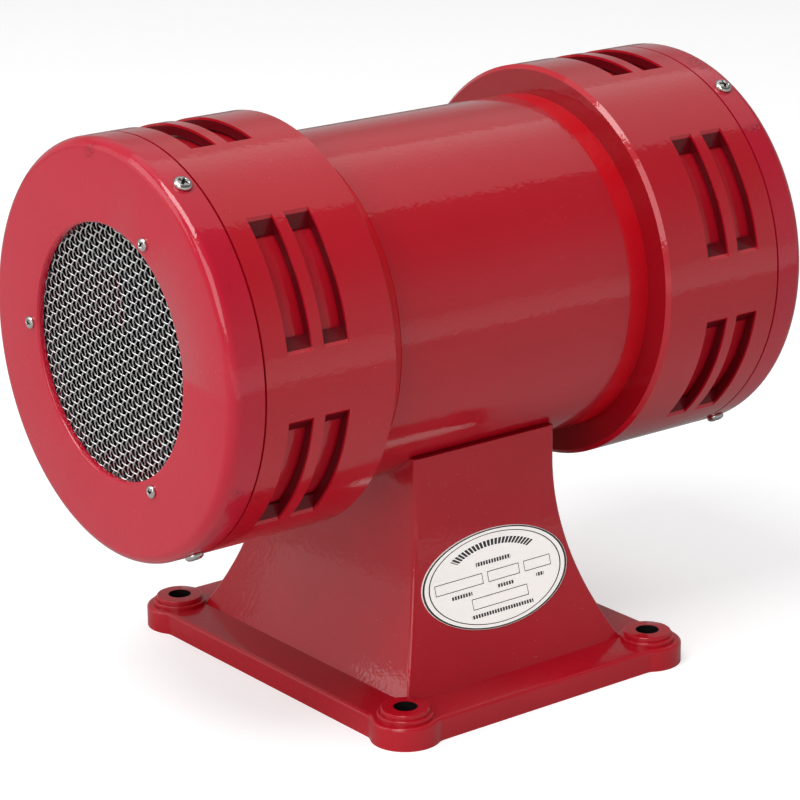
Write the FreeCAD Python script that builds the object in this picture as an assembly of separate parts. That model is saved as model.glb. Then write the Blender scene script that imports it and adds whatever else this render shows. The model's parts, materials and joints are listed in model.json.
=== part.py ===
"""Alarm siren: a motor-driven, double-ended siren on a cast pedestal, built piece by piece.

Millimetres. +Z is up, +X runs along the barrel and the origin is the base's bottom centre.
"""
import FreeCAD
import Part
import math
import os

V = FreeCAD.Vector

# Overall sizes
LENGTH = 287.5          # cap face to cap face
DRUM_R = 82.5           # outside radius of the drums and caps
DRUM_UNDER = 71.0       # base's bottom to the underside of the drums

# Shell stations and walls
CAP_DEPTH = 14.85       # seam to the cap's front face
DRUM_LEN = 60.9         # seam to the drum's back face
COLLAR_LEN = 10.25      # drum's back face to the end of the barrel
DRUM_STEP = 11.7        # drum radius over barrel radius
BARREL_WALL = 3.2
DRUM_WALL = 4.5
BACK_T = 4.0            # drum's back plate
RIM_CHAMFER = 1.6       # drum's back outer edge
COLLAR_STEP = 0.2       # collar sits under the barrel's surface
SPIGOT_LEN = 10.0       # drum's register inside the barrel
SPIGOT_WALL = 3.2
SPIGOT_FIT = 0.05
SEAM_GAP = 0.9          # groove between drum and cap

# Windows of the drums
GROUP_PAIRS = 3         # pairs of window groups, one pair between two cap screws
GROUP_OFFSET_DEG = 32.5     # group centre from its cap screw
ROW_STARTS = (22.4, 38.9)   # rows of windows, from the drum's back face
ROW_W = 11.4
WINDOW_OUT_DEG = 18.6   # half angle at the outer surface
WINDOW_IN_DEG = 14.4    # half angle at the inner surface

# Caps, intake mesh and their screws
CAP_FACE_T = 2.6
CAP_SKIRT_T = 1.95
CAP_ROUND = 4.5
CAP_LIP_ROUND = 1.1
CAP_REGISTER = 9.6      # drum's ring under the cap's skirt
REGISTER_FIT = 0.05
INTAKE_R = 50.06
CAP_SCREW_BACK = 8.93   # cap's front face to its screws
CAP_SCREW_R = 2.0
CAP_SCREW_HEAD_R = 3.6
CAP_SCREW_HEAD_H = 2.2
CAP_SCREW_LEN = 6.5
MESH_SCREW_RING = 5.28  # screw circle outside the intake
MESH_SCREW_R = 1.5
MESH_SCREW_HEAD_R = 2.55
MESH_SCREW_HEAD_H = 1.6
MESH_SCREW_LEN = 7.0
MESH_PITCH = 3.15
MESH_BAR = 0.8
MESH_T = 1.6
MESH_GRIP = 3.1         # mesh radius outside the intake
MESH_TURN_DEG = 16.0
RING_T = 3.1
RING_W = 9.0
SCREW_SLACK = 0.05      # screw in its tapped hole
HOLE_SLACK = 0.2        # screw in a passing hole
RECESS_W = 0.8          # cross recess of the screw heads
RECESS_SPAN = 0.6       # recess length over head radius
RECESS_DEPTH = 0.5      # recess depth over head height

# Pedestal
NECK_X = 36.2
NECK_Y = 50.5
NECK_Z = 100.7          # neck's top over the base's bottom
FLARE_Z = 87.5          # start of the flare over the base's bottom
FOOT_SPREAD = 20.0
CAST_WALL = 3.8
NECK_ROUND = 2.0
CORNER_ROUND = 2.0
PLATE_T = 9.5
PLATE_ROUND = 1.6
HOLE_X = 63.33
HOLE_Y = 78.19
HOLE_R = 4.75
PLATE_MARGIN = 11.2     # hole centre to the plate's edge
LOBE_R = 14.0
LOBE_BLEND = 5.0
BOSS_RINGS = ((11.2, 1.8), (9.8, 1.9))
BOSS_ROUND = 0.6
SADDLE_FIT = 0.04
TOUCH = 1e-6            # below this two points are one

# Nameplate
LABEL_A = 37.5
LABEL_B = 19.2
LABEL_Z = 45.5          # nameplate's centre over the base's bottom
LABEL_T = 0.6

# Saddle bolts
BOLT_X = 21.0
BOLT_DEG = 24.0         # from straight down, about the axis
BOLT_R = 3.0
BOLT_HEAD_AF = 10.0
BOLT_HEAD_H = 4.0
WASHER_R = 6.2
WASHER_T = 1.2
BOLT_PAD_R = 7.6
BOLT_PAD_H = 2.6
BAR_END = 9.0           # clamp bar past its bolts
BAR_W = 14.0
BAR_T = 6.5
BOLT_TIP = 1.0

# Motor: sizes drawn for the barrel bore and half-length below, and scaled with them
MOTOR_BORE = 67.6
MOTOR_BACK = 68.0
STATOR_HALF = 42.0
STATOR_ROUND = 6.0
YOKE_T = 8.0
CAVITY_ROUND = 10.0
CORE_HALF = 15.0
AIR_GAP = 0.8
ARMATURE_R = 21.7
SHOE_T = 4.5
SHOE_DEG = 52.0
POLE_W = 22.0
COIL_GAP = 0.3
COIL_W = 11.0
COIL_END = 9.5
COIL_ROUND = 0.8        # coil's corner over its narrower side
TIE_POS = 36.5
TIE_R = 2.5
TIE_NUT_AF = 8.0
TIE_NUT_T = 4.0
TIE_TIP = 0.8
SPACER_R = 4.5
SLOTS = 12
SLOT_W = 4.0
SLOT_DEPTH = 8.0
WINDING_LINER = 0.15
END_TURN_IN = 9.0
END_TURN_OUT = 19.2
END_TURN_LEN = 12.5
END_TURN_ROUND = 3.0
COMM_START = 38.0
COMM_LEN = 16.0
COMM_HUB_R = 8.0
COMM_R = 11.0
COMM_RISER_R = 13.0
COMM_RISER_T = 2.0
COMM_GAP = 0.5

# Brushes and holders
BRUSH_X = 46.0
BRUSH_W = 8.0
BRUSH_H = 6.0
BRUSH_LEN = 16.0
BRUSH_SEAT = 0.08       # brush to commutator
BRUSH_SLACK = 0.06      # brush in its holder, each side
HOLDER_WALL = 1.5
HOLDER_START = 2.6      # commutator to the holder's mouth
HOLDER_LEN = 22.5
BRUSH_PLATE_X = 52.0
BRUSH_PLATE_T = 3.0
BRUSH_PLATE_BORE = 20.0
EAR_W = 10.0            # holder's foot, half width
EAR_T = 1.8
EAR_LEN = 12.0
EAR_SCREW_R = 1.5
EAR_HEAD_R = 2.7
EAR_SCREW_POS = 7.6
SPRING_R = 2.1
SPRING_WIRE = 0.45
SPRING_TURNS = 4.0

# Shaft, bearings and impellers
SHAFT_R = 5.0
SHAFT_MID_R = 6.0
SHAFT_FIT = 0.01
BEARING_R = 13.0
BEARING_W = 8.0
BEARING_IN = 7.0        # drum's back face to the bearing's inner end
RACE_T = 2.4
BALL_R = 2.0
BALLS = 8
BALL_FIT = 0.05
HUB_R = 18.0
HUB_IN = 8.0
HUB_OUT = 2.0
LIP_SLACK = 1.3
HUB_RIB_T = 4.0
SLEEVE_T = 2.0
IMPELLER_GAP = 7.0      # drum's back plate to the impeller's disc
IMPELLER_RUN = 0.8      # impeller rim to the drum's wall
IMPELLER_RIM_T = 2.0
IMPELLER_DISC_T = 2.2
IMPELLER_FRONT = 4.5    # drum's seam to the impeller's front edge
IMPELLER_HUB_R = 13.0
IMPELLER_HUB_LEN = 22.0
IMPELLER_HUB_BACK = 3.0     # hub behind the disc
VANES = 6
VANE_T = 1.8
VANE_EYE_R = 45.0
PORT_DEG = 12.5         # half angle of a port
PORT_BACK = 7.0         # disc to the ports
PORT_FRONT = 4.0        # ports to the front edge
CUT_PAST = 1.1          # port cutter's reach over the rim's radius
THREAD_R = 4.0
END_NUT_AF = 13.0
END_NUT_T = 6.5
END_WASHER_R = 8.5
END_WASHER_T = 1.6
THREAD_TIP = 2.0

# Wiring inside
LEAD_R = 1.1
LEAD_BEND = 4.0
LEAD_HOLE_R = 7.0
LEAD_SPLIT = 1.8        # leads' offset from the hole's centre
GROMMET_T = 1.6
GROMMET_RIM = 2.4
GROMMET_PAD_R = 11.0
GROMMET_PAD_H = 1.6
LEAD_RUN = 6.0          # lead run under the stator
LINK_OUT = 6.0          # leads past the coil ends
LINK_FAR = 9.0          # coil link past the coil ends
LINK_SIDE = 12.0        # stator's flat side to the coil link
SOLDER_POS = 13.5       # brush holder's mouth to its lead
EARTH_RISE = 4.4        # earth lead over the other leads' rise

# Terminal block and earth, inside the pedestal
BLOCK_HALF = 19.0
BLOCK_D = 17.0
BLOCK_H = 17.0
BLOCK_Z = 59.5          # block's centre over the base's bottom
BLOCK_IN = 11.5         # neck's back face to the block
PAD_LAP = 3.0
POLE_PITCH = 11.0
INSERT_R = 3.0
INSERT_BORE = 1.6
CLAMP_R = 1.5
CLAMP_RISE = 4.6
FIXING_R = 1.6
FIXING_HEAD_R = 2.4
FIXING_X = 5.5
EARTH_X = 26.5
EARTH_R = 2.0
EARTH_HEAD_R = 3.2
LUG_W = 7.0
LUG_T = 1.6
LEAD_RISE = 12.0        # leads over the terminal block's centre

# Cable gland in the back wall
GLAND_H = 32.0
GLAND_OUT = 16.0        # neck's back face to the gland's pad
GLAND_PAD_R = 13.0
GLAND_PAD_T = 15.0
GLAND_R = 8.0
GLAND_BORE = 4.4
GLAND_HEX = 21.0
GLAND_HEX_T = 4.5
GLAND_NUT_T = 9.0
GLAND_NUT_ROUND = 2.0
GLAND_LOCK_T = 4.5
SEAL_T = 1.2
SEAL_LEN = 6.0

# Derived sizes
HALF = LENGTH / 2
AXIS_H = DRUM_R + DRUM_UNDER
SEAM_X = HALF - CAP_DEPTH
BACK_X = SEAM_X - DRUM_LEN
BARREL_HALF = BACK_X - COLLAR_LEN
BARREL_R = DRUM_R - DRUM_STEP
BARREL_BORE = BARREL_R - BARREL_WALL
DRUM_BORE = DRUM_R - DRUM_WALL
CAP_BORE = DRUM_R - CAP_SKIRT_T
CAP_INNER_X = HALF - CAP_FACE_T
MESH_R = INTAKE_R + MESH_GRIP
MESH_SCREW_CIRCLE = INTAKE_R + MESH_SCREW_RING
CAP_SCREW_X = HALF - CAP_SCREW_BACK
SCREW_ANGLES = [360.0 / GROUP_PAIRS * i for i in range(GROUP_PAIRS)]
GROUP_ANGLES = [a + s * GROUP_OFFSET_DEG for a in SCREW_ANGLES for s in (-1, 1)]
SADDLE_R = BARREL_R + SADDLE_FIT
ROOF_R = SADDLE_R + CAST_WALL
FLARE_RISE = FLARE_Z - PLATE_T
FLARE_R = (FLARE_RISE ** 2 + FOOT_SPREAD ** 2) / (2 * FOOT_SPREAD)
ACROSS = BARREL_BORE / MOTOR_BORE
ALONG = BACK_X / MOTOR_BACK
PLATE_X0 = BRUSH_PLATE_X * ALONG
PLATE_X1 = PLATE_X0 + BRUSH_PLATE_T
CORE_X = CORE_HALF * ALONG
TIE_Y = TIE_POS * ACROSS
TIE_POINTS = [(TIE_Y * a, TIE_Y * b) for a in (-1, 1) for b in (-1, 1)]
COMM_OUT = COMM_R * ACROSS
BRUSH_MID = BRUSH_X * ALONG
BEARING_X0 = BACK_X - BEARING_IN
BEARING_X1 = BEARING_X0 + BEARING_W
DISC_X = BACK_X + BACK_T + IMPELLER_GAP
IMPELLER_R = DRUM_BORE - IMPELLER_RUN
IMPELLER_X1 = SEAM_X - IMPELLER_FRONT
IMPELLER_HUB_X = DISC_X - IMPELLER_HUB_BACK
IMPELLER_HUB_END = IMPELLER_HUB_X + IMPELLER_HUB_LEN
BLOCK_Y = NECK_Y - BLOCK_IN
GLAND_FACE = NECK_Y + GLAND_OUT


def tube(x0, x1, r_out, r_in=0.0):
    """Tube or bar about the siren's axis, between two stations along X."""
    start = V(x0, 0, AXIS_H)
    body = Part.makeCylinder(r_out, x1 - x0, start, V(1, 0, 0))
    if r_in > 0:
        body = body.cut(Part.makeCylinder(r_in, x1 - x0, start, V(1, 0, 0)))
    return body


def box(x0, x1, y0, y1, z0, z1):
    """Box between two corners."""
    return Part.makeBox(x1 - x0, y1 - y0, z1 - z0, V(x0, y0, z0))


def turned(shape, degrees):
    """Copy turned about the siren's axis, from +Y towards +Z."""
    copy = shape.copy()
    copy.rotate(V(0, 0, AXIS_H), V(1, 0, 0), degrees)
    return copy


def mirrored(shape):
    """Copy for the other end of the siren."""
    return shape.mirror(V(0, 0, 0), V(1, 0, 0))


def both_ends(shape):
    """The piece and its mirror image as separate solids."""
    return Part.makeCompound([shape, mirrored(shape)])


def hexagon(across_flats, height, start, direction):
    """Hexagonal prism."""
    reach = across_flats / math.sqrt(3)
    corners = [V(reach * math.cos(math.radians(60 * i)), reach * math.sin(math.radians(60 * i)), 0)
               for i in range(7)]
    prism = Part.Face(Part.makePolygon(corners)).extrude(V(0, 0, height))
    prism.Placement = FreeCAD.Placement(start, FreeCAD.Rotation(V(0, 0, 1), direction))
    return prism


def rims(shape, radius, station):
    """Circular edges about the axis with the given radius and station."""
    found = []
    for edge in shape.Edges:
        curve = edge.Curve
        if not isinstance(curve, Part.Circle):
            continue
        if abs(curve.Radius - radius) < 1e-4 and abs(curve.Center.x - station) < 1e-4:
            found.append(edge)
    return found


def pan_screw(head_r, head_h, shank_r, shank_len):
    """Pan-head cross-recess screw along +Z, its head's seat at the origin."""
    head = Part.makeCylinder(head_r, head_h)
    top = [e for e in head.Edges if isinstance(e.Curve, Part.Circle) and e.Curve.Center.z > head_h / 2]
    head = head.makeFillet(head_h * RECESS_DEPTH, top)
    shank = Part.makeCylinder(shank_r, shank_len, V(0, 0, -shank_len))
    screw = head.fuse(shank)
    reach = head_r * RECESS_SPAN
    half = RECESS_W / 2
    floor = head_h * (1 - RECESS_DEPTH)
    screw = screw.cut(box(-reach, reach, -half, half, floor, head_h))
    return screw.cut(box(-half, half, -reach, reach, floor, head_h))


def placed(shape, position, direction):
    """Copy with its +Z axis along a direction, moved to a position."""
    copy = shape.copy()
    copy.Placement = FreeCAD.Placement(position, FreeCAD.Rotation(V(0, 0, 1), direction))
    return copy


def flare_profile(half, grow, top):
    """Outline of the pedestal's side: upright neck, flare, then the foot down to the base."""
    half = half + grow
    radius = FLARE_R - grow
    foot = half + radius - math.sqrt(radius ** 2 - FLARE_RISE ** 2)
    mid_rise = FLARE_RISE / 2
    mid = half + radius - math.sqrt(radius ** 2 - mid_rise ** 2)
    points = [V(foot, 0, 0), V(foot, 0, PLATE_T), V(half, 0, FLARE_Z), V(half, 0, top)]
    other = [V(-p.x, 0, p.z) for p in points]
    return Part.Wire([
        Part.makeLine(points[0], points[1]),
        Part.Arc(points[1], V(mid, 0, FLARE_Z - mid_rise), points[2]).toShape(),
        Part.makeLine(points[2], points[3]),
        Part.makeLine(points[3], other[3]),
        Part.makeLine(other[3], other[2]),
        Part.Arc(other[2], V(-mid, 0, FLARE_Z - mid_rise), other[1]).toShape(),
        Part.makeLine(other[1], other[0]),
        Part.makeLine(other[0], points[0]),
    ])


def flare_slab(half, grow, top, depth):
    """Pedestal side outline as a slab, seen along Y and centred."""
    slab = Part.Face(flare_profile(half, grow, top)).extrude(V(0, 2 * depth, 0))
    slab.translate(V(0, -depth, 0))
    return slab


def flared_block(grow, top):
    """Pedestal body that flares along both X and Y; grow moves its walls out."""
    deep = HOLE_X + HOLE_Y
    along_x = flare_slab(NECK_X, grow, top, deep)
    along_y = flare_slab(NECK_Y, grow, top, deep)
    along_y.rotate(V(0, 0, 0), V(0, 0, 1), 90)
    return along_x.common(along_y)


def upright_edges(shape):
    """Edges that climb from the plate to the neck."""
    return [e for e in shape.Edges if e.BoundBox.ZLength > FLARE_RISE / 2]


def plate_outline():
    """Base plate outline: straight sides, hollow blends and round lobes at the corners."""
    edge_x = HOLE_X + PLATE_MARGIN
    edge_y = HOLE_Y + PLATE_MARGIN
    reach = LOBE_R + LOBE_BLEND
    rise = PLATE_MARGIN + LOBE_BLEND
    run = math.sqrt(reach ** 2 - rise ** 2)
    share = LOBE_R / reach
    half_in = math.sqrt(0.5)
    quarter = []
    start = V(edge_x, HOLE_Y - run, 0)
    blend_a = V(edge_x + LOBE_BLEND, HOLE_Y - run, 0)
    touch_a = V(HOLE_X + rise * share, HOLE_Y - run * share, 0)
    touch_b = V(HOLE_X - run * share, HOLE_Y + rise * share, 0)
    blend_b = V(HOLE_X - run, edge_y + LOBE_BLEND, 0)
    end = V(HOLE_X - run, edge_y, 0)
    for first, centre, last, size in ((start, blend_a, touch_a, LOBE_BLEND),
                                      (touch_b, blend_b, end, LOBE_BLEND)):
        chord = (first + last) / 2 - centre
        quarter.append((first, centre + chord * (size / chord.Length), last))
    lobe_mid = V(HOLE_X + LOBE_R * half_in, HOLE_Y + LOBE_R * half_in, 0)
    quarter.insert(1, (touch_a, lobe_mid, touch_b))
    arcs = []
    for sx, sy in ((1, 1), (-1, 1), (-1, -1), (1, -1)):
        corner = [[V(p.x * sx, p.y * sy, 0) for p in arc] for arc in quarter]
        if sx * sy < 0:
            corner = [arc[::-1] for arc in corner[::-1]]
        arcs.extend(corner)
    edges = []
    for here, after in zip(arcs, arcs[1:] + arcs[:1]):
        edges.append(Part.Arc(*here).toShape())
        if (here[2] - after[0]).Length > TOUCH:
            edges.append(Part.makeLine(here[2], after[0]))
    return Part.Wire(edges)


def base_plate():
    """Base plate with its stepped corner bosses."""
    plate = Part.Face(plate_outline()).extrude(V(0, 0, PLATE_T))
    rim = [e for e in plate.Edges if e.BoundBox.ZMin > PLATE_T - TOUCH]
    plate = plate.makeFillet(PLATE_ROUND, rim)
    for sx in (-1, 1):
        for sy in (-1, 1):
            level = PLATE_T
            for radius, height in BOSS_RINGS:
                foot = V(sx * HOLE_X, sy * HOLE_Y, level - PLATE_T)
                ring = Part.makeCylinder(radius, PLATE_T + height, foot)
                top = [e for e in ring.Edges if e.BoundBox.ZMin > level + height - TOUCH]
                plate = plate.fuse(ring.makeFillet(BOSS_ROUND, top))
                level += height
    return plate


def base_holes():
    """Fixing holes through the corner bosses."""
    tall = PLATE_T + sum(height for _, height in BOSS_RINGS)
    holes = [Part.makeCylinder(HOLE_R, tall, V(sx * HOLE_X, sy * HOLE_Y, 0))
             for sx in (-1, 1) for sy in (-1, 1)]
    return Part.makeCompound(holes)


def bolt_frames():
    """Station and outward direction of each saddle bolt."""
    frames = []
    for x in (-BOLT_X, BOLT_X):
        for deg in (-BOLT_DEG, BOLT_DEG):
            way = V(0, math.sin(math.radians(deg)), -math.cos(math.radians(deg)))
            frames.append((x, way))
    return frames


def radial(r0, r1, radius, x, way):
    """Bar along a radius of the siren's axis."""
    return Part.makeCylinder(radius, r1 - r0, V(x, 0, AXIS_H) + way * r0, way)


def pedestal():
    """Cast pedestal: flared hollow body, saddle roof, pads and base plate."""
    body = flared_block(0.0, NECK_Z)
    body = body.makeFillet(CORNER_ROUND, upright_edges(body))
    hollow = flared_block(-CAST_WALL, NECK_Z)
    roof = tube(-LENGTH, LENGTH, ROOF_R)
    walls = body.fuse(base_plate()).cut(hollow.cut(roof))
    down = V(0, 0, -1)
    inner_pads = [radial(SADDLE_R, ROOF_R + BOLT_PAD_H, BOLT_PAD_R, x, way) for x, way in bolt_frames()]
    inner_pads.append(radial(SADDLE_R, ROOF_R + GROMMET_PAD_H, GROMMET_PAD_R, 0, down))
    inner_pads.append(terminal_pad())
    solid = flared_block(0.0, NECK_Z)
    for pad in inner_pads:
        walls = walls.fuse(pad.common(solid))
    gland = Part.makeCylinder(GLAND_PAD_R, GLAND_PAD_T, V(0, GLAND_FACE, GLAND_H), V(0, -1, 0))
    walls = walls.fuse(gland)
    walls = walls.cut(tube(-LENGTH, LENGTH, SADDLE_R))
    walls = walls.cut(base_holes())
    for x, way in bolt_frames():
        walls = walls.cut(radial(SADDLE_R / 2, ROOF_R + 2 * BOLT_PAD_H, BOLT_R + HOLE_SLACK, x, way))
    walls = walls.cut(radial(SADDLE_R / 2, ROOF_R + 2 * GROMMET_PAD_H, LEAD_HOLE_R, 0, down))
    for hole in terminal_holes():
        walls = walls.cut(hole)
    gland_hole = Part.makeCylinder(GLAND_R + SCREW_SLACK, 2 * GLAND_PAD_T,
                                   V(0, GLAND_FACE + GLAND_PAD_T / 2, GLAND_H), V(0, -1, 0))
    return walls.cut(gland_hole).removeSplitter()


def terminal_pad():
    """Cast pad behind the terminal block, run out into the back wall."""
    half = EARTH_X + LUG_W / 2
    return box(-half, half, BLOCK_Y, NECK_Y + PAD_LAP, BLOCK_Z - BLOCK_H / 2, BLOCK_Z + BLOCK_H / 2)


def terminal_holes():
    """Tapped holes in the pad for the block's fixings and the earth screw."""
    depth = NECK_Y - BLOCK_Y - CAST_WALL / 2
    points = [(-FIXING_X, FIXING_R), (FIXING_X, FIXING_R), (EARTH_X, EARTH_R)]
    return [Part.makeCylinder(r + SCREW_SLACK, depth, V(x, BLOCK_Y, BLOCK_Z), V(0, 1, 0))
            for x, r in points]


def nameplate():
    """Oval plate that follows the front face's flare."""
    deep = HOLE_X + HOLE_Y
    skin = flare_slab(NECK_Y, LABEL_T, NECK_Z, deep).cut(flare_slab(NECK_Y, 0.0, NECK_Z, deep))
    skin.rotate(V(0, 0, 0), V(0, 0, 1), 90)
    oval = Part.Ellipse(V(0, 0, 0), LABEL_A, LABEL_B).toShape()
    plate = Part.Face(Part.Wire([oval])).extrude(V(0, 0, deep))
    plate.rotate(V(0, 0, 0), V(1, 0, 0), 90)
    plate.translate(V(0, 0, LABEL_Z))
    return skin.common(plate)


def barrel():
    """Motor barrel with its saddle holes."""
    body = tube(-BARREL_HALF, BARREL_HALF, BARREL_R, BARREL_BORE)
    for x, way in bolt_frames():
        body = body.cut(radial(BARREL_BORE / 2, ROOF_R, BOLT_R + HOLE_SLACK, x, way))
    return body.cut(radial(BARREL_BORE / 2, ROOF_R, LEAD_HOLE_R, 0, V(0, 0, -1)))


def window_cutter(x0):
    """Funnel-shaped window through the drum's wall, centred on +Y."""
    half_out = math.radians(WINDOW_OUT_DEG)
    half_in = math.radians(WINDOW_IN_DEG)
    outer = V(0, math.cos(half_out), math.sin(half_out)) * DRUM_R
    inner = V(0, math.cos(half_in), math.sin(half_in)) * DRUM_BORE
    slope = outer - inner
    far = outer + slope * ((DRUM_R + DRUM_WALL - outer.y) / slope.y)
    near = inner - slope * ((inner.y + DRUM_WALL - DRUM_BORE) / slope.y)
    corners = [near, far, V(0, far.y, -far.z), V(0, near.y, -near.z), near]
    cutter = Part.Face(Part.makePolygon(corners)).extrude(V(ROW_W, 0, 0))
    cutter.translate(V(x0, 0, AXIS_H))
    return cutter


def drum():
    """Drum casting of the +X end: slotted wall, back plate, collar, bearing hub and cap register."""
    wall_end = SEAM_X - SEAM_GAP / 2
    body = tube(BACK_X, wall_end, DRUM_R)
    body = body.makeChamfer(RIM_CHAMFER, rims(body, DRUM_R, BACK_X))
    body = body.fuse(tube(wall_end, SEAM_X + CAP_REGISTER, CAP_BORE - REGISTER_FIT))
    body = body.cut(tube(BACK_X + BACK_T, HALF, DRUM_BORE))
    collar_in = BARREL_BORE - SPIGOT_WALL
    body = body.fuse(tube(BARREL_HALF, BACK_X, BARREL_R - COLLAR_STEP, collar_in))
    body = body.fuse(tube(BARREL_HALF - SPIGOT_LEN, BARREL_HALF, BARREL_BORE - SPIGOT_FIT, collar_in))
    body = body.fuse(tube(BACK_X - HUB_IN, BACK_X + BACK_T + HUB_OUT, HUB_R))
    rib = box(BEARING_X0, BACK_X, 0, collar_in + SPIGOT_WALL / 2,
              AXIS_H - HUB_RIB_T / 2, AXIS_H + HUB_RIB_T / 2)
    for quarter in range(4):
        body = body.fuse(turned(rib, 90 * quarter))
    body = body.cut(tube(BACK_X - HUB_IN, BEARING_X1, BEARING_R + SHAFT_FIT))
    body = body.cut(tube(BEARING_X1, HALF, SHAFT_R + SLEEVE_T + LIP_SLACK))
    for y, z in TIE_POINTS:
        start = V(BACK_X - BACK_T, y, AXIS_H + z)
        body = body.cut(Part.makeCylinder(TIE_R + HOLE_SLACK, HALF - BACK_X, start, V(1, 0, 0)))
    for angle in GROUP_ANGLES:
        for start in ROW_STARTS:
            body = body.cut(turned(window_cutter(BACK_X + start), angle))
    tap = Part.makeCylinder(CAP_SCREW_R + SCREW_SLACK, DRUM_R, V(CAP_SCREW_X, 0, AXIS_H), V(0, 1, 0))
    for angle in SCREW_ANGLES:
        body = body.cut(turned(tap, angle))
    return body.removeSplitter()


def cap():
    """Spun cap of the +X end with its round intake."""
    start = SEAM_X + SEAM_GAP / 2
    body = tube(start, HALF, DRUM_R)
    body = body.makeFillet(CAP_ROUND, rims(body, DRUM_R, HALF))
    inside = tube(start, CAP_INNER_X, CAP_BORE)
    inside = inside.makeFillet(CAP_ROUND - CAP_SKIRT_T, rims(inside, CAP_BORE, CAP_INNER_X))
    body = body.cut(inside)
    body = body.cut(tube(start, HALF, INTAKE_R))
    body = body.makeFillet(CAP_LIP_ROUND, rims(body, INTAKE_R, HALF))
    pass_hole = Part.makeCylinder(CAP_SCREW_R + HOLE_SLACK, LENGTH, V(CAP_SCREW_X, 0, AXIS_H), V(0, 1, 0))
    mesh_at = V(0, MESH_SCREW_CIRCLE, AXIS_H)
    mesh_hole = Part.makeCylinder(MESH_SCREW_R + HOLE_SLACK, LENGTH, mesh_at, V(1, 0, 0))
    for angle in SCREW_ANGLES:
        body = body.cut(turned(pass_hole, angle))
        body = body.cut(turned(mesh_hole, angle))
    return body


def intake_mesh():
    """Square-mesh intake guard of the +X end, drawn as one flat grid."""
    outline = Part.Wire([Part.makeCircle(MESH_R, V(0, 0, 0), V(0, 0, 1))])
    half = (MESH_PITCH - MESH_BAR) / 2
    count = int(MESH_R / MESH_PITCH) + 1
    wires = [outline]
    for i in range(-count, count + 1):
        for j in range(-count, count + 1):
            x = (i + 0.5) * MESH_PITCH
            y = (j + 0.5) * MESH_PITCH
            if math.hypot(abs(x) + half, abs(y) + half) > MESH_R - MESH_BAR:
                continue
            wires.append(Part.makePolygon([V(x - half, y - half, 0), V(x - half, y + half, 0),
                                           V(x + half, y + half, 0), V(x + half, y - half, 0),
                                           V(x - half, y - half, 0)]))
    grid = Part.Face(wires, "Part::FaceMakerBullseye").extrude(V(0, 0, -MESH_T))
    grid.rotate(V(0, 0, 0), V(0, 0, 1), MESH_TURN_DEG)
    return placed(grid, V(CAP_INNER_X, 0, AXIS_H), V(1, 0, 0))


def mesh_ring():
    """Ring of the +X end that clamps the mesh against the cap."""
    x1 = CAP_INNER_X - MESH_T
    ring = tube(x1 - RING_T, CAP_INNER_X, INTAKE_R + RING_W, INTAKE_R)
    ring = ring.cut(tube(x1, CAP_INNER_X, MESH_R + SCREW_SLACK))
    tap = Part.makeCylinder(MESH_SCREW_R + SCREW_SLACK, LENGTH, V(0, MESH_SCREW_CIRCLE, AXIS_H), V(1, 0, 0))
    for angle in SCREW_ANGLES:
        ring = ring.cut(turned(tap, angle))
    return ring


def mesh_screws():
    """Pan-head screws through both caps into the mesh rings."""
    screw = pan_screw(MESH_SCREW_HEAD_R, MESH_SCREW_HEAD_H, MESH_SCREW_R, MESH_SCREW_LEN)
    screw = placed(screw, V(HALF, MESH_SCREW_CIRCLE, AXIS_H), V(1, 0, 0))
    ends = [turned(screw, angle) for angle in SCREW_ANGLES]
    return Part.makeCompound(ends + [mirrored(s) for s in ends])


def cap_screws():
    """Pan-head screws through the caps' skirts into the drums."""
    screw = pan_screw(CAP_SCREW_HEAD_R, CAP_SCREW_HEAD_H, CAP_SCREW_R, CAP_SCREW_LEN)
    screw = placed(screw, V(CAP_SCREW_X, DRUM_R, AXIS_H), V(0, 1, 0))
    ends = [turned(screw, angle) for angle in SCREW_ANGLES]
    return Part.makeCompound(ends + [mirrored(s) for s in ends])


def saddle_bolts():
    """Hexagon bolts from inside the pedestal into the clamp bars."""
    seat = ROOF_R + BOLT_PAD_H + WASHER_T
    tip = BARREL_BORE - BAR_T - BOLT_TIP
    bolts = []
    for x, way in bolt_frames():
        head = hexagon(BOLT_HEAD_AF, BOLT_HEAD_H, V(x, 0, AXIS_H) + way * seat, way)
        bolts.append(head.fuse(radial(tip, seat, BOLT_R, x, way)))
    return Part.makeCompound(bolts)


def saddle_washers():
    """Washers under the saddle bolts' heads."""
    seat = ROOF_R + BOLT_PAD_H
    rings = []
    for x, way in bolt_frames():
        disc = radial(seat, seat + WASHER_T, WASHER_R, x, way)
        rings.append(disc.cut(radial(seat, seat + WASHER_T, BOLT_R + HOLE_SLACK, x, way)))
    return Part.makeCompound(rings)


def clamp_bars():
    """Tapped bars inside the barrel, one each side."""
    bars = []
    reach = BOLT_X + BAR_END
    for side in (-1, 1):
        bar = box(-reach, reach, -BAR_W / 2, BAR_W / 2, AXIS_H - BARREL_R, AXIS_H - BARREL_BORE + BAR_T)
        bar = turned(bar, side * BOLT_DEG)
        bars.append(bar.common(tube(-reach, reach, BARREL_BORE - SPIGOT_FIT)))
    for x, way in bolt_frames():
        tap = radial(BARREL_BORE / 2, BARREL_R, BOLT_R + SCREW_SLACK, x, way)
        bars = [bar.cut(tap) for bar in bars]
    return Part.makeCompound(bars)


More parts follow.
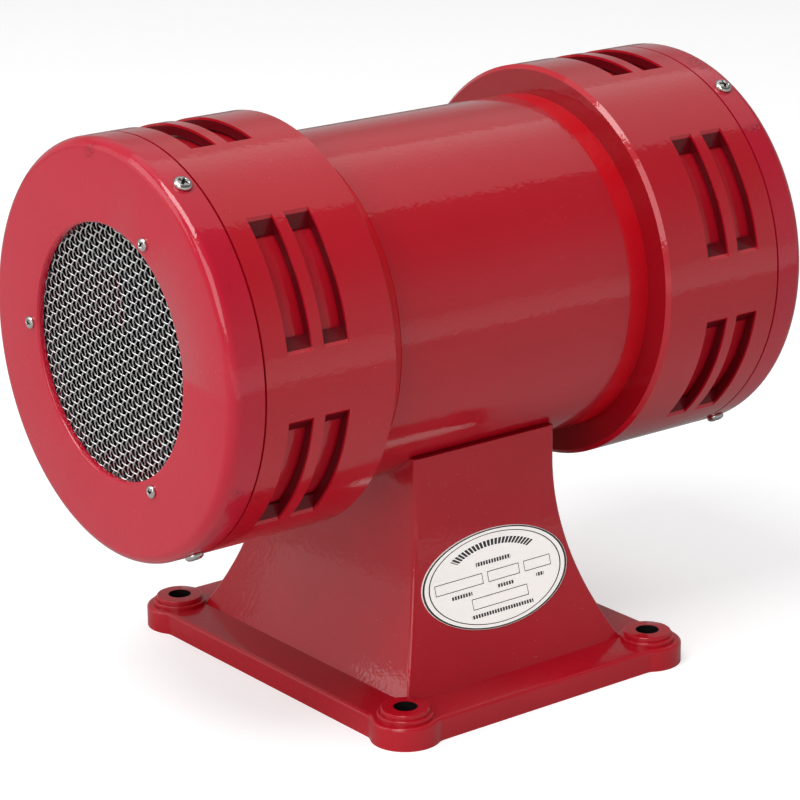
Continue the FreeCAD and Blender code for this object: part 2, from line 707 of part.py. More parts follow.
def lead_grommet():
    """Rubber sleeve where the leads pass from the pedestal into the barrel."""
    down = V(0, 0, -1)
    inner = BARREL_BORE - GROMMET_RIM
    outer = ROOF_R + GROMMET_PAD_H + GROMMET_T
    body = radial(inner, outer, LEAD_HOLE_R - SCREW_SLACK, 0, down)
    body = body.fuse(radial(outer - GROMMET_T, outer, LEAD_HOLE_R + GROMMET_RIM, 0, down))
    top = radial(inner - GROMMET_T, BARREL_BORE - SCREW_SLACK, LEAD_HOLE_R + GROMMET_RIM, 0, down)
    body = body.fuse(top.common(tube(-LENGTH, LENGTH, BARREL_BORE - SPIGOT_FIT)))
    return body.cut(radial(0, BARREL_R * 2, LEAD_HOLE_R - GROMMET_T, 0, down))


def square_section(half, round_r, x0, x1):
    """Square bar with rounded corners along the siren's axis."""
    body = box(x0, x1, -half, half, AXIS_H - half, AXIS_H + half)
    long_edges = [e for e in body.Edges if e.BoundBox.XLength > (x1 - x0) / 2]
    return body.makeFillet(round_r, long_edges)


def tie_holes(radius):
    """Bars on the four tie-rod lines."""
    return [Part.makeCylinder(radius, LENGTH, V(-HALF, y, AXIS_H + z), V(1, 0, 0)) for y, z in TIE_POINTS]


def stator_core():
    """Two-pole lamination stack with pole shoes and tie-rod holes."""
    half = STATOR_HALF * ACROSS
    cavity = half - YOKE_T * ACROSS
    bore = (ARMATURE_R + AIR_GAP) * ACROSS
    shoe_r = bore + SHOE_T * ACROSS
    core = square_section(half, STATOR_ROUND * ACROSS, -CORE_X, CORE_X)
    core = core.cut(square_section(cavity, CAVITY_ROUND * ACROSS, -LENGTH, LENGTH))
    neck = POLE_W * ACROSS / 2
    shoe = tube(-CORE_X, CORE_X, shoe_r, bore)
    spread = shoe_r * math.tan(math.radians(SHOE_DEG))
    wedge = Part.Face(Part.makePolygon([V(-CORE_X, 0, AXIS_H), V(-CORE_X, spread, AXIS_H + shoe_r),
                                        V(-CORE_X, -spread, AXIS_H + shoe_r), V(-CORE_X, 0, AXIS_H)]))
    shoe = shoe.common(wedge.extrude(V(2 * CORE_X, 0, 0)))
    pole = box(-CORE_X, CORE_X, -neck, neck, AXIS_H, AXIS_H + cavity + YOKE_T * ACROSS / 2)
    pole = pole.cut(tube(-CORE_X, CORE_X, bore + SHOE_T * ACROSS / 2)).fuse(shoe)
    core = core.fuse(pole).fuse(turned(pole, 180))
    for hole in tie_holes(TIE_R + HOLE_SLACK):
        core = core.cut(hole)
    return core.removeSplitter()


def field_coil(angle):
    """Wound coil round one pole's neck."""
    shoe_r = (ARMATURE_R + AIR_GAP + SHOE_T) * ACROSS
    z0 = AXIS_H + shoe_r + COIL_GAP
    z1 = AXIS_H + (STATOR_HALF - YOKE_T) * ACROSS - COIL_GAP
    neck = POLE_W * ACROSS / 2 + COIL_GAP
    wide = neck + COIL_W * ACROSS
    inner = CORE_X + COIL_GAP
    outer = inner + COIL_END * ALONG
    coil = box(-outer, outer, -wide, wide, z0, z1)
    corners = [e for e in coil.Edges if e.BoundBox.ZLength > (z1 - z0) / 2]
    coil = coil.makeFillet(min(COIL_W * ACROSS, COIL_END * ALONG) * COIL_ROUND, corners)
    coil = coil.cut(box(-inner, inner, -neck, neck, z0, z1))
    return turned(coil, angle)


def tie_rods():
    """Long rods that clamp both drums, the stator and the brush plate."""
    reach = BACK_X + BACK_T + TIE_NUT_T + TIE_TIP
    return Part.makeCompound([Part.makeCylinder(TIE_R, 2 * reach, V(-reach, y, AXIS_H + z), V(1, 0, 0))
                              for y, z in TIE_POINTS])


def tie_nuts():
    """Nuts on both ends of the tie rods."""
    nuts = []
    for y, z in TIE_POINTS:
        start = V(BACK_X + BACK_T, y, AXIS_H + z)
        nut = hexagon(TIE_NUT_AF, TIE_NUT_T, start, V(1, 0, 0))
        nut = nut.cut(Part.makeCylinder(TIE_R + SCREW_SLACK, TIE_NUT_T, start, V(1, 0, 0)))
        nuts.extend([nut, mirrored(nut)])
    return Part.makeCompound(nuts)


def spacer_tubes():
    """Distance tubes on the tie rods between drums, stator and brush plate."""
    runs = ((-BACK_X, -CORE_X), (CORE_X, PLATE_X0), (PLATE_X1, BACK_X))
    tubes = []
    for y, z in TIE_POINTS:
        for x0, x1 in runs:
            start = V(x0, y, AXIS_H + z)
            body = Part.makeCylinder(SPACER_R, x1 - x0, start, V(1, 0, 0))
            tubes.append(body.cut(Part.makeCylinder(TIE_R + HOLE_SLACK, x1 - x0, start, V(1, 0, 0))))
    return Part.makeCompound(tubes)


def brush_plate():
    """Insulating plate that carries both brush holders."""
    plate = square_section(STATOR_HALF * ACROSS, STATOR_ROUND * ACROSS, PLATE_X0, PLATE_X1)
    plate = plate.cut(tube(PLATE_X0, PLATE_X1, BRUSH_PLATE_BORE * ACROSS))
    for hole in tie_holes(TIE_R + HOLE_SLACK):
        plate = plate.cut(hole)
    for y, z in ear_points():
        plate = plate.cut(Part.makeCylinder(EAR_SCREW_R + SCREW_SLACK, LENGTH, V(0, y, z), V(1, 0, 0)))
    return plate


def ear_points():
    """Holder screw positions on the brush plate."""
    y = COMM_OUT + HOLDER_START + HOLDER_LEN / 2
    return [(sy * y, AXIS_H + sz * EAR_SCREW_POS) for sy in (-1, 1) for sz in (-1, 1)]


def brush_holder(side):
    """Box-shaped brush guide with a closed back and screw ears."""
    y0 = COMM_OUT + HOLDER_START
    y1 = y0 + HOLDER_LEN
    in_w = BRUSH_W / 2 + BRUSH_SLACK
    in_h = BRUSH_H / 2 + BRUSH_SLACK
    body = box(BRUSH_MID - in_w - HOLDER_WALL, PLATE_X0, y0, y1,
               AXIS_H - in_h - HOLDER_WALL, AXIS_H + in_h + HOLDER_WALL)
    mid = (y0 + y1) / 2
    body = body.fuse(box(PLATE_X0 - EAR_T, PLATE_X0, mid - EAR_LEN / 2, mid + EAR_LEN / 2,
                         AXIS_H - EAR_W, AXIS_H + EAR_W))
    body = body.cut(box(BRUSH_MID - in_w, BRUSH_MID + in_w, y0, y1 - HOLDER_WALL,
                        AXIS_H - in_h, AXIS_H + in_h))
    for z in (-EAR_SCREW_POS, EAR_SCREW_POS):
        start = V(0, mid, AXIS_H + z)
        body = body.cut(Part.makeCylinder(EAR_SCREW_R + SCREW_SLACK, LENGTH, start, V(1, 0, 0)))
    return turned(body, 0 if side > 0 else 180)


def brush_holder_screws():
    """Screws through the brush plate into the holders' ears."""
    screw = pan_screw(EAR_HEAD_R, EAR_SCREW_R, EAR_SCREW_R, BRUSH_PLATE_T + EAR_T)
    return Part.makeCompound([placed(screw, V(PLATE_X1, y, z), V(1, 0, 0)) for y, z in ear_points()])


def brush(side):
    """Carbon brush with its end shaped to the commutator."""
    y1 = COMM_OUT + BRUSH_LEN
    body = box(BRUSH_MID - BRUSH_W / 2, BRUSH_MID + BRUSH_W / 2, COMM_OUT / 2, y1,
               AXIS_H - BRUSH_H / 2, AXIS_H + BRUSH_H / 2)
    body = body.cut(tube(-LENGTH, LENGTH, COMM_OUT + BRUSH_SEAT))
    return turned(body, 0 if side > 0 else 180)


def brush_spring(side):
    """Coil spring between a brush and its holder's closed end."""
    start = COMM_OUT + BRUSH_LEN + SPRING_WIRE
    end = COMM_OUT + HOLDER_START + HOLDER_LEN - HOLDER_WALL - SPRING_WIRE
    length = end - start
    path = Part.makeHelix(length / SPRING_TURNS, length, SPRING_R)
    wire = Part.Wire([Part.makeCircle(SPRING_WIRE, V(SPRING_R, 0, 0), V(0, 1, 0))])
    spring = Part.Wire(path.Edges).makePipeShell([wire], True, True)
    return turned(placed(spring, V(BRUSH_MID, start, AXIS_H), V(0, 1, 0)), 0 if side > 0 else 180)


def ball_circle():
    """Pitch radius of the bearing balls."""
    return (SHAFT_R + BEARING_R) / 2


def ball_groove():
    """Ring-shaped groove for the bearing balls."""
    mid = (BEARING_X0 + BEARING_X1) / 2
    return Part.makeTorus(ball_circle(), BALL_R + BALL_FIT, V(mid, 0, AXIS_H), V(1, 0, 0))


def bearing_outer_races():
    """Outer races, seated in the drums' hubs."""
    race = tube(BEARING_X0, BEARING_X1, BEARING_R, BEARING_R - RACE_T)
    return both_ends(race.cut(ball_groove()))


def bearing_inner_races():
    """Inner races, seated on the shaft."""
    race = tube(BEARING_X0, BEARING_X1, SHAFT_R + RACE_T, SHAFT_R + SHAFT_FIT)
    return both_ends(race.cut(ball_groove()))


def bearing_balls():
    """Balls of both bearings."""
    mid = (BEARING_X0 + BEARING_X1) / 2
    ball = Part.makeSphere(BALL_R, V(mid, ball_circle(), AXIS_H))
    ends = [turned(ball, 360.0 / BALLS * i) for i in range(BALLS)]
    return Part.makeCompound(ends + [mirrored(b) for b in ends])


def shaft():
    """Rotor shaft, stepped for bearings and threaded-size ends."""
    tip = IMPELLER_HUB_END + END_WASHER_T + END_NUT_T + THREAD_TIP
    body = tube(-BEARING_X0, BEARING_X0, SHAFT_MID_R)
    body = body.fuse(tube(-IMPELLER_HUB_END, IMPELLER_HUB_END, SHAFT_R))
    return body.fuse(tube(-tip, tip, THREAD_R)).removeSplitter()


def impeller_spacers():
    """Sleeves between the inner races and the impeller hubs."""
    return both_ends(tube(BEARING_X1, IMPELLER_HUB_X, SHAFT_R + SLEEVE_T, SHAFT_R + SHAFT_FIT))


def impeller_washers():
    """Washers in front of the impeller hubs."""
    x1 = IMPELLER_HUB_END + END_WASHER_T
    return both_ends(tube(IMPELLER_HUB_END, x1, END_WASHER_R, THREAD_R + SCREW_SLACK))


def impeller_nuts():
    """Nuts on the shaft's ends."""
    x0 = IMPELLER_HUB_END + END_WASHER_T
    nut = hexagon(END_NUT_AF, END_NUT_T, V(x0, 0, AXIS_H), V(1, 0, 0))
    return both_ends(nut.cut(tube(x0, x0 + END_NUT_T, THREAD_R + SCREW_SLACK)))


def impeller():
    """Siren rotor of the +X end: disc, ported rim, hub and radial vanes."""
    rim_in = IMPELLER_R - IMPELLER_RIM_T
    body = tube(DISC_X, DISC_X + IMPELLER_DISC_T, IMPELLER_R)
    body = body.fuse(tube(DISC_X, IMPELLER_X1, IMPELLER_R, rim_in))
    body = body.fuse(tube(IMPELLER_HUB_X, IMPELLER_HUB_END, IMPELLER_HUB_R))
    x0 = DISC_X + IMPELLER_DISC_T + PORT_BACK
    x1 = IMPELLER_X1 - PORT_FRONT
    far = IMPELLER_R * CUT_PAST
    reach = far * math.tan(math.radians(PORT_DEG))
    port = Part.Face(Part.makePolygon([V(x0, 0, AXIS_H), V(x0, far, AXIS_H - reach),
                                       V(x0, far, AXIS_H + reach), V(x0, 0, AXIS_H)]))
    port = port.extrude(V(x1 - x0, 0, 0)).cut(tube(x0, x1, VANE_EYE_R))
    outer = rim_in + IMPELLER_RIM_T / 2
    vane = Part.Face(Part.makePolygon([V(DISC_X, IMPELLER_HUB_R / 2, AXIS_H),
                                       V(IMPELLER_HUB_END - IMPELLER_HUB_BACK, IMPELLER_HUB_R / 2, AXIS_H),
                                       V(x1, VANE_EYE_R, AXIS_H), V(x1, outer, AXIS_H),
                                       V(DISC_X, outer, AXIS_H), V(DISC_X, IMPELLER_HUB_R / 2, AXIS_H)]))
    vane = vane.extrude(V(0, 0, VANE_T))
    vane.translate(V(0, 0, -VANE_T / 2))
    step = 360.0 / VANES
    for i in range(VANES):
        body = body.cut(turned(port, step * i))
        body = body.fuse(turned(vane, step * (i + 0.5)))
    return body.cut(tube(0, HALF, SHAFT_R + SHAFT_FIT)).removeSplitter()


def slot_box(slack):
    """Armature slot, narrowed by a slack on each side."""
    r1 = ARMATURE_R * ACROSS
    half = SLOT_W * ACROSS / 2 - slack
    return box(-CORE_X, CORE_X, r1 - SLOT_DEPTH * ACROSS + slack, r1, AXIS_H - half, AXIS_H + half)


def armature_core():
    """Slotted lamination stack on the shaft."""
    core = tube(-CORE_X, CORE_X, ARMATURE_R * ACROSS, SHAFT_MID_R)
    for i in range(SLOTS):
        core = core.cut(turned(slot_box(0.0), 360.0 / SLOTS * i))
    return core


def armature_winding():
    """Copper winding: bars in the slots joined by rounded end turns."""
    top = ARMATURE_R * ACROSS - AIR_GAP
    x0 = CORE_X + WINDING_LINER
    x1 = x0 + END_TURN_LEN * ALONG
    turn = tube(x0, x1, END_TURN_OUT * ACROSS, END_TURN_IN * ACROSS)
    turn = turn.makeFillet(END_TURN_ROUND, rims(turn, END_TURN_OUT * ACROSS, x1))
    winding = turn.fuse(mirrored(turn))
    bar = slot_box(WINDING_LINER)
    bar = bar.fuse(box(-x1 + END_TURN_ROUND, x1 - END_TURN_ROUND, bar.BoundBox.YMin, bar.BoundBox.YMax,
                       bar.BoundBox.ZMin, bar.BoundBox.ZMax))
    bar = bar.common(tube(-LENGTH, LENGTH, top))
    inner_bar = bar.common(tube(-CORE_X, CORE_X, LENGTH))
    outer_bar = bar.common(tube(-LENGTH, LENGTH, END_TURN_OUT * ACROSS))
    bar = inner_bar.fuse(outer_bar)
    for i in range(SLOTS):
        winding = winding.fuse(turned(bar, 360.0 / SLOTS * i))
    return winding.removeSplitter()


def commutator_hub():
    """Insulating sleeve under the commutator segments."""
    x0 = COMM_START * ALONG
    return tube(x0, x0 + COMM_LEN * ALONG, COMM_HUB_R * ACROSS, SHAFT_MID_R)


def commutator_segments():
    """Copper segments with risers, one solid each."""
    x0 = COMM_START * ALONG
    x1 = x0 + COMM_LEN * ALONG
    ring = tube(x0, x1, COMM_OUT, COMM_HUB_R * ACROSS)
    ring = ring.fuse(tube(x0, x0 + COMM_RISER_T, COMM_RISER_R * ACROSS, COMM_HUB_R * ACROSS))
    for i in range(SLOTS):
        gap = box(x0, x1, 0, COMM_RISER_R * 2, AXIS_H - COMM_GAP / 2, AXIS_H + COMM_GAP / 2)
        ring = ring.cut(turned(gap, 360.0 / SLOTS * (i + 0.5)))
    return Part.makeCompound(ring.Solids)


def lead(points):
    """Round insulated lead through the points, with tangent bends at the corners."""
    edges = []
    here = points[0]
    for before, corner, after in zip(points, points[1:], points[2:]):
        arrive = (corner - before).normalize()
        leave = (after - corner).normalize()
        turn = math.acos(max(-1.0, min(1.0, arrive.dot(leave))))
        trim = LEAD_BEND * math.tan(turn / 2)
        first = corner - arrive * trim
        last = corner + leave * trim
        inward = (leave - arrive).normalize()
        centre = corner + inward * (LEAD_BEND / math.cos(turn / 2))
        middle = centre - inward * LEAD_BEND
        edges.append(Part.makeLine(here, first))
        edges.append(Part.Arc(first, middle, last).toShape())
        here = last
    edges.append(Part.makeLine(here, points[-1]))
    way = (points[1] - points[0]).normalize()
    ring = Part.Wire([Part.makeCircle(LEAD_R, points[0], way)])
    return Part.Wire(edges).makePipeShell([ring], True, True)


def pole_mid():
    """Height over the axis of the middle of the field coils."""
    return ((ARMATURE_R + AIR_GAP + SHOE_T + STATOR_HALF - YOKE_T) * ACROSS) / 2


def coil_end():
    """Station of the field coils' ends."""
    return CORE_X + COIL_GAP + COIL_END * ALONG


def block_start(pole):
    """Where a lead leaves its terminal, and the corner above it."""
    y = BLOCK_Y - BLOCK_D / 2
    return [V(pole * POLE_PITCH, y, BLOCK_Z + BLOCK_H / 2 - LEAD_BEND / 2),
            V(pole * POLE_PITCH, y, BLOCK_Z + LEAD_RISE)]


def lead_live():
    """Supply lead from the terminal block to the lower field coil."""
    run_z = AXIS_H - STATOR_HALF * ACROSS - LEAD_RUN
    out = coil_end() + LINK_OUT
    split = LEAD_SPLIT
    coil_z = AXIS_H - pole_mid()
    return lead(block_start(-1) + [V(-split, split, BLOCK_Z + LEAD_RISE), V(-split, split, run_z),
                                   V(-out, split, run_z), V(-out, split, coil_z),
                                   V(-coil_end(), split, coil_z)])


def lead_neutral():
    """Supply lead from the terminal block to the front brush holder."""
    run_z = AXIS_H - STATOR_HALF * ACROSS - LEAD_RUN
    y = -(COMM_OUT + HOLDER_START + SOLDER_POS)
    split = LEAD_SPLIT
    end_z = AXIS_H - BRUSH_H / 2 - BRUSH_SLACK - HOLDER_WALL
    return lead(block_start(1) + [V(split, -split, BLOCK_Z + LEAD_RISE), V(split, -split, run_z),
                                  V(BRUSH_MID, -split, run_z), V(BRUSH_MID, y, run_z),
                                  V(BRUSH_MID, y, end_z)])


def lead_brush():
    """Link from the upper field coil to the rear brush holder."""
    y = COMM_OUT + HOLDER_START + SOLDER_POS
    z = AXIS_H + pole_mid()
    start_y = POLE_W * ACROSS / 2
    end_z = AXIS_H + BRUSH_H / 2 + BRUSH_SLACK + HOLDER_WALL
    return lead([V(coil_end(), start_y, z), V(BRUSH_MID, start_y, z), V(BRUSH_MID, y, z),
                 V(BRUSH_MID, y, end_z)])


def coil_link():
    """Link between the two field coils, round the armature's end."""
    x0 = -coil_end()
    x1 = x0 - LINK_FAR
    y0 = POLE_W * ACROSS / 2
    y1 = (STATOR_HALF - LINK_SIDE) * ACROSS
    rise = pole_mid()
    return lead([V(x0, y0, AXIS_H - rise), V(x1, y0, AXIS_H - rise), V(x1, y1, AXIS_H - rise),
                 V(x1, y1, AXIS_H + rise), V(x1, y0, AXIS_H + rise), V(x0, y0, AXIS_H + rise)])


def lead_earth():
    """Earth lead from the terminal block to its lug on the pedestal."""
    y = BLOCK_Y - BLOCK_D / 2
    z = BLOCK_Z + LEAD_RISE + EARTH_RISE
    lug_y = BLOCK_Y - LUG_T / 2
    end_y = lug_y - LEAD_R
    return lead([V(0, y, BLOCK_Z + BLOCK_H / 2 - LEAD_BEND / 2), V(0, y, z), V(EARTH_X, end_y, z),
                 V(EARTH_X, end_y, BLOCK_Z + LUG_W / 2 + LEAD_R)])


def earth_lug():
    """Ring tongue under the earth screw."""
    half = LUG_W / 2
    tongue = box(EARTH_X - half, EARTH_X + half, BLOCK_Y - LUG_T, BLOCK_Y,
                 BLOCK_Z - half, BLOCK_Z + half + LEAD_R)
    hole = Part.makeCylinder(EARTH_R + HOLE_SLACK, LUG_T, V(EARTH_X, BLOCK_Y - LUG_T, BLOCK_Z), V(0, 1, 0))
    return tongue.cut(hole)


def earth_screw():
    """Screw that holds the earth lug."""
    screw = pan_screw(EARTH_HEAD_R, EARTH_R, EARTH_R, LUG_T + CAST_WALL)
    return placed(screw, V(EARTH_X, BLOCK_Y - LUG_T, BLOCK_Z), V(0, -1, 0))


def terminal_block():
    """Moulded three-pole terminal block."""
    half_h = BLOCK_H / 2
    mid_y = BLOCK_Y - BLOCK_D / 2
    body = box(-BLOCK_HALF, BLOCK_HALF, BLOCK_Y - BLOCK_D, BLOCK_Y, BLOCK_Z - half_h, BLOCK_Z + half_h)
    for pole in (-1, 0, 1):
        x = pole * POLE_PITCH
        body = body.cut(Part.makeCylinder(INSERT_R + SCREW_SLACK, BLOCK_H, V(x, mid_y, BLOCK_Z - half_h)))
        for z in (-CLAMP_RISE, CLAMP_RISE):
            start = V(x, mid_y, BLOCK_Z + z)
            body = body.cut(Part.makeCylinder(CLAMP_R + HOLE_SLACK, BLOCK_D / 2, start, V(0, -1, 0)))
    for x in (-FIXING_X, FIXING_X):
        start = V(x, BLOCK_Y - BLOCK_D, BLOCK_Z)
        body = body.cut(Part.makeCylinder(FIXING_R + HOLE_SLACK, BLOCK_D, start, V(0, 1, 0)))
    return body


def terminal_inserts():
    """Brass sleeves that hold the leads."""
    half_h = BLOCK_H / 2
    mid_y = BLOCK_Y - BLOCK_D / 2
    sleeves = []
    for pole in (-1, 0, 1):
        start = V(pole * POLE_PITCH, mid_y, BLOCK_Z - half_h)
        sleeve = Part.makeCylinder(INSERT_R, BLOCK_H - LEAD_BEND / 2, start)
        sleeve = sleeve.cut(Part.makeCylinder(INSERT_BORE, BLOCK_H - LEAD_BEND, start))
        sleeves.append(sleeve)
    return Part.makeCompound(sleeves)


def terminal_screws():
    """Clamp screws of the terminals."""
    start_y = BLOCK_Y - BLOCK_D / 2 - INSERT_R
    length = BLOCK_D / 2 - INSERT_R - CLAMP_R
    return Part.makeCompound([Part.makeCylinder(CLAMP_R, length, V(pole * POLE_PITCH, start_y, BLOCK_Z + z),
                                                V(0, -1, 0))
                              for pole in (-1, 0, 1) for z in (-CLAMP_RISE, CLAMP_RISE)])


def terminal_fixings():
    """Screws that hold the terminal block to its pad."""
    screw = pan_screw(FIXING_HEAD_R, FIXING_R, FIXING_R, BLOCK_D + CAST_WALL)
    return Part.makeCompound([placed(screw, V(x, BLOCK_Y - BLOCK_D, BLOCK_Z), V(0, -1, 0))
                              for x in (-FIXING_X, FIXING_X)])


def gland_bar(y0, y1, radius):
    """Bar on the gland's axis between two stations along Y."""
    return Part.makeCylinder(radius, y1 - y0, V(0, y0, GLAND_H), V(0, 1, 0))


def gland_body():
    """Cable gland body: hexagon outside, thread-size barrel through the wall."""
    inside = GLAND_FACE - GLAND_PAD_T - GLAND_LOCK_T
    outside = GLAND_FACE + GLAND_HEX_T
    body = hexagon(GLAND_HEX, GLAND_HEX_T, V(0, GLAND_FACE, GLAND_H), V(0, 1, 0))
    body = body.fuse(gland_bar(inside, GLAND_FACE, GLAND_R))
    body = body.fuse(gland_bar(outside, outside + GLAND_NUT_T / 2, GLAND_R))
    return body.cut(gland_bar(inside, outside + GLAND_NUT_T, GLAND_BORE + SEAL_T))


def gland_nut():
    """Domed clamping nut on the gland body."""
    y0 = GLAND_FACE + GLAND_HEX_T
    nut = hexagon(GLAND_HEX, GLAND_NUT_T, V(0, y0, GLAND_H), V(0, 1, 0))
    dome = gland_bar(y0, y0 + GLAND_NUT_T, GLAND_HEX / math.sqrt(3))
    top = [e for e in dome.Edges if e.BoundBox.YMin > y0 + GLAND_NUT_T - TOUCH]
    nut = nut.common(dome.makeFillet(GLAND_NUT_ROUND, top))
    nut = nut.cut(gland_bar(y0, y0 + GLAND_NUT_T / 2 + SCREW_SLACK, GLAND_R + SCREW_SLACK))
    return nut.cut(gland_bar(y0, y0 + GLAND_NUT_T, GLAND_BORE + SEAL_T))


def gland_seal():
    """Rubber ring inside the gland."""
    y1 = GLAND_FACE + GLAND_HEX_T + GLAND_NUT_T
    ring = gland_bar(y1 - GLAND_NUT_T, y1 - SEAL_T, GLAND_BORE + SEAL_T - SCREW_SLACK)
    return ring.cut(gland_bar(y1 - GLAND_NUT_T, y1, GLAND_BORE))


def gland_locknut():
    """Locknut inside the pedestal."""
    y0 = GLAND_FACE - GLAND_PAD_T - GLAND_LOCK_T
    nut = hexagon(GLAND_HEX, GLAND_LOCK_T, V(0, y0, GLAND_H), V(0, 1, 0))
    return nut.cut(gland_bar(y0, y0 + GLAND_LOCK_T, GLAND_R + SCREW_SLACK))


def build():
    """All pieces by node name."""
    drum_right = drum()
    cap_right = cap()
    mesh_right = intake_mesh()
    ring_right = mesh_ring()
    impeller_right = impeller()
    return {
        "pedestal": pedestal(),
        "nameplate": nameplate(),
        "barrel": barrel(),
        "drum_right": drum_right,
        "drum_left": mirrored(drum_right),
        "cap_right": cap_right,
        "cap_left": mirrored(cap_right),
        "intake_mesh_right": mesh_right,
        "intake_mesh_left": mirrored(mesh_right),
        "mesh_ring_right": ring_right,
        "mesh_ring_left": mirrored(ring_right),
        "mesh_screws": mesh_screws(),
        "cap_screws": cap_screws(),
        "saddle_bolts": saddle_bolts(),
        "saddle_washers": saddle_washers(),
        "clamp_bars": clamp_bars(),
        "lead_grommet": lead_grommet(),
        "stator_core": stator_core(),
        "field_coil_upper": field_coil(0),
        "field_coil_lower": field_coil(180),
        "tie_rods": tie_rods(),
        "tie_nuts": tie_nuts(),
        "spacer_tubes": spacer_tubes(),
        "brush_plate": brush_plate(),
        "brush_holder_front": brush_holder(-1),
        "brush_holder_rear": brush_holder(1),
        "brush_holder_screws": brush_holder_screws(),
        "brush_front": brush(-1),
        "brush_rear": brush(1),
        "brush_spring_front": brush_spring(-1),
        "brush_spring_rear": brush_spring(1),
        "bearing_outer_races": bearing_outer_races(),
        "bearing_inner_races": bearing_inner_races(),
        "bearing_balls": bearing_balls(),
        "shaft": shaft(),
        "impeller_right": impeller_right,
        "impeller_left": mirrored(impeller_right),
        "impeller_spacers": impeller_spacers(),
        "impeller_washers": impeller_washers(),
        "impeller_nuts": impeller_nuts(),
        "armature_core": armature_core(),
        "armature_winding": armature_winding(),
        "commutator_hub": commutator_hub(),
        "commutator_segments": commutator_segments(),
        "lead_live": lead_live(),
        "lead_neutral": lead_neutral(),
        "lead_brush": lead_brush(),
        "coil_link": coil_link(),
        "lead_earth": lead_earth(),
        "earth_lug": earth_lug(),
        "earth_screw": earth_screw(),
        "terminal_block": terminal_block(),
        "terminal_inserts": terminal_inserts(),
        "terminal_screws": terminal_screws(),
        "terminal_fixings": terminal_fixings(),
        "gland_body": gland_body(),
        "gland_nut": gland_nut(),
        "gland_seal": gland_seal(),
        "gland_locknut": gland_locknut(),
    }


def export(pieces):
    """Write one STEP file per node."""
    os.makedirs("parts", exist_ok=True)
    for name, shape in pieces.items():
        shape.exportStep("parts/" + name + ".step")


export(build())
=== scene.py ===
"""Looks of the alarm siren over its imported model: red enamel castings, woven intakes, screws, nameplate."""
import json
import logging
import math
from dataclasses import dataclass, field
from enum import Enum
from typing import Callable, Dict, List, Optional, Sequence, Tuple

import bmesh
import bpy
from mathutils import Matrix, Vector


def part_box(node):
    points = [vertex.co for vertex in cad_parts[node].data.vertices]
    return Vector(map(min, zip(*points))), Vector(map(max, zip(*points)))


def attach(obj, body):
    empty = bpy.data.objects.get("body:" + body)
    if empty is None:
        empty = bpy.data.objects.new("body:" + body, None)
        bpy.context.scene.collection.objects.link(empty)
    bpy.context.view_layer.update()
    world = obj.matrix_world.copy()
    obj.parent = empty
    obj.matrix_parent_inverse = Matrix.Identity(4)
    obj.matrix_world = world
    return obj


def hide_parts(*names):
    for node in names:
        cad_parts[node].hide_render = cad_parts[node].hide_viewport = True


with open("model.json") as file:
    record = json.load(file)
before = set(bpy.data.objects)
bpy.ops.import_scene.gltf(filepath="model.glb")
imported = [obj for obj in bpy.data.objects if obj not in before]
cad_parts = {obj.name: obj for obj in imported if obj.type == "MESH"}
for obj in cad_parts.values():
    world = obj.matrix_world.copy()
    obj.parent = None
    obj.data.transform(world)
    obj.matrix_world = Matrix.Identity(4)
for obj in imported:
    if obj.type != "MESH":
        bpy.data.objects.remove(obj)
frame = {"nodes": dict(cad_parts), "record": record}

LOG = logging.getLogger("siren")
Node = bpy.types.Node
Socket = bpy.types.NodeSocket
Tree = bpy.types.NodeTree
Colour = Tuple[float, float, float]
Area = Tuple[float, float, float, float]
WHITE = (1.0, 1.0, 1.0, 1.0)
ZINC: Colour = (0.82, 0.80, 0.77)
ZINC_ROUGH = 0.16
HOLE_MARGIN = 0.00006
RIM_DEPTH = 0.0004
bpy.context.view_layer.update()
AXIS_HEIGHT = (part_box("drum_right")[0].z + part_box("drum_right")[1].z) / 2


class End(Enum):
    """The siren's two ends, by their direction along X."""

    RIGHT = 1
    LEFT = -1

    @property
    def word(self) -> str:
        """Name of the end as used in piece names."""
        return self.name.lower()


class Light(Enum):
    """What a studio lamp is for."""

    KEY = "key"
    FILL = "fill"
    RIM = "rim"
    TOP = "top"
    OVERHEAD = "overhead"


# ---------------------------------------------------------------- node trees


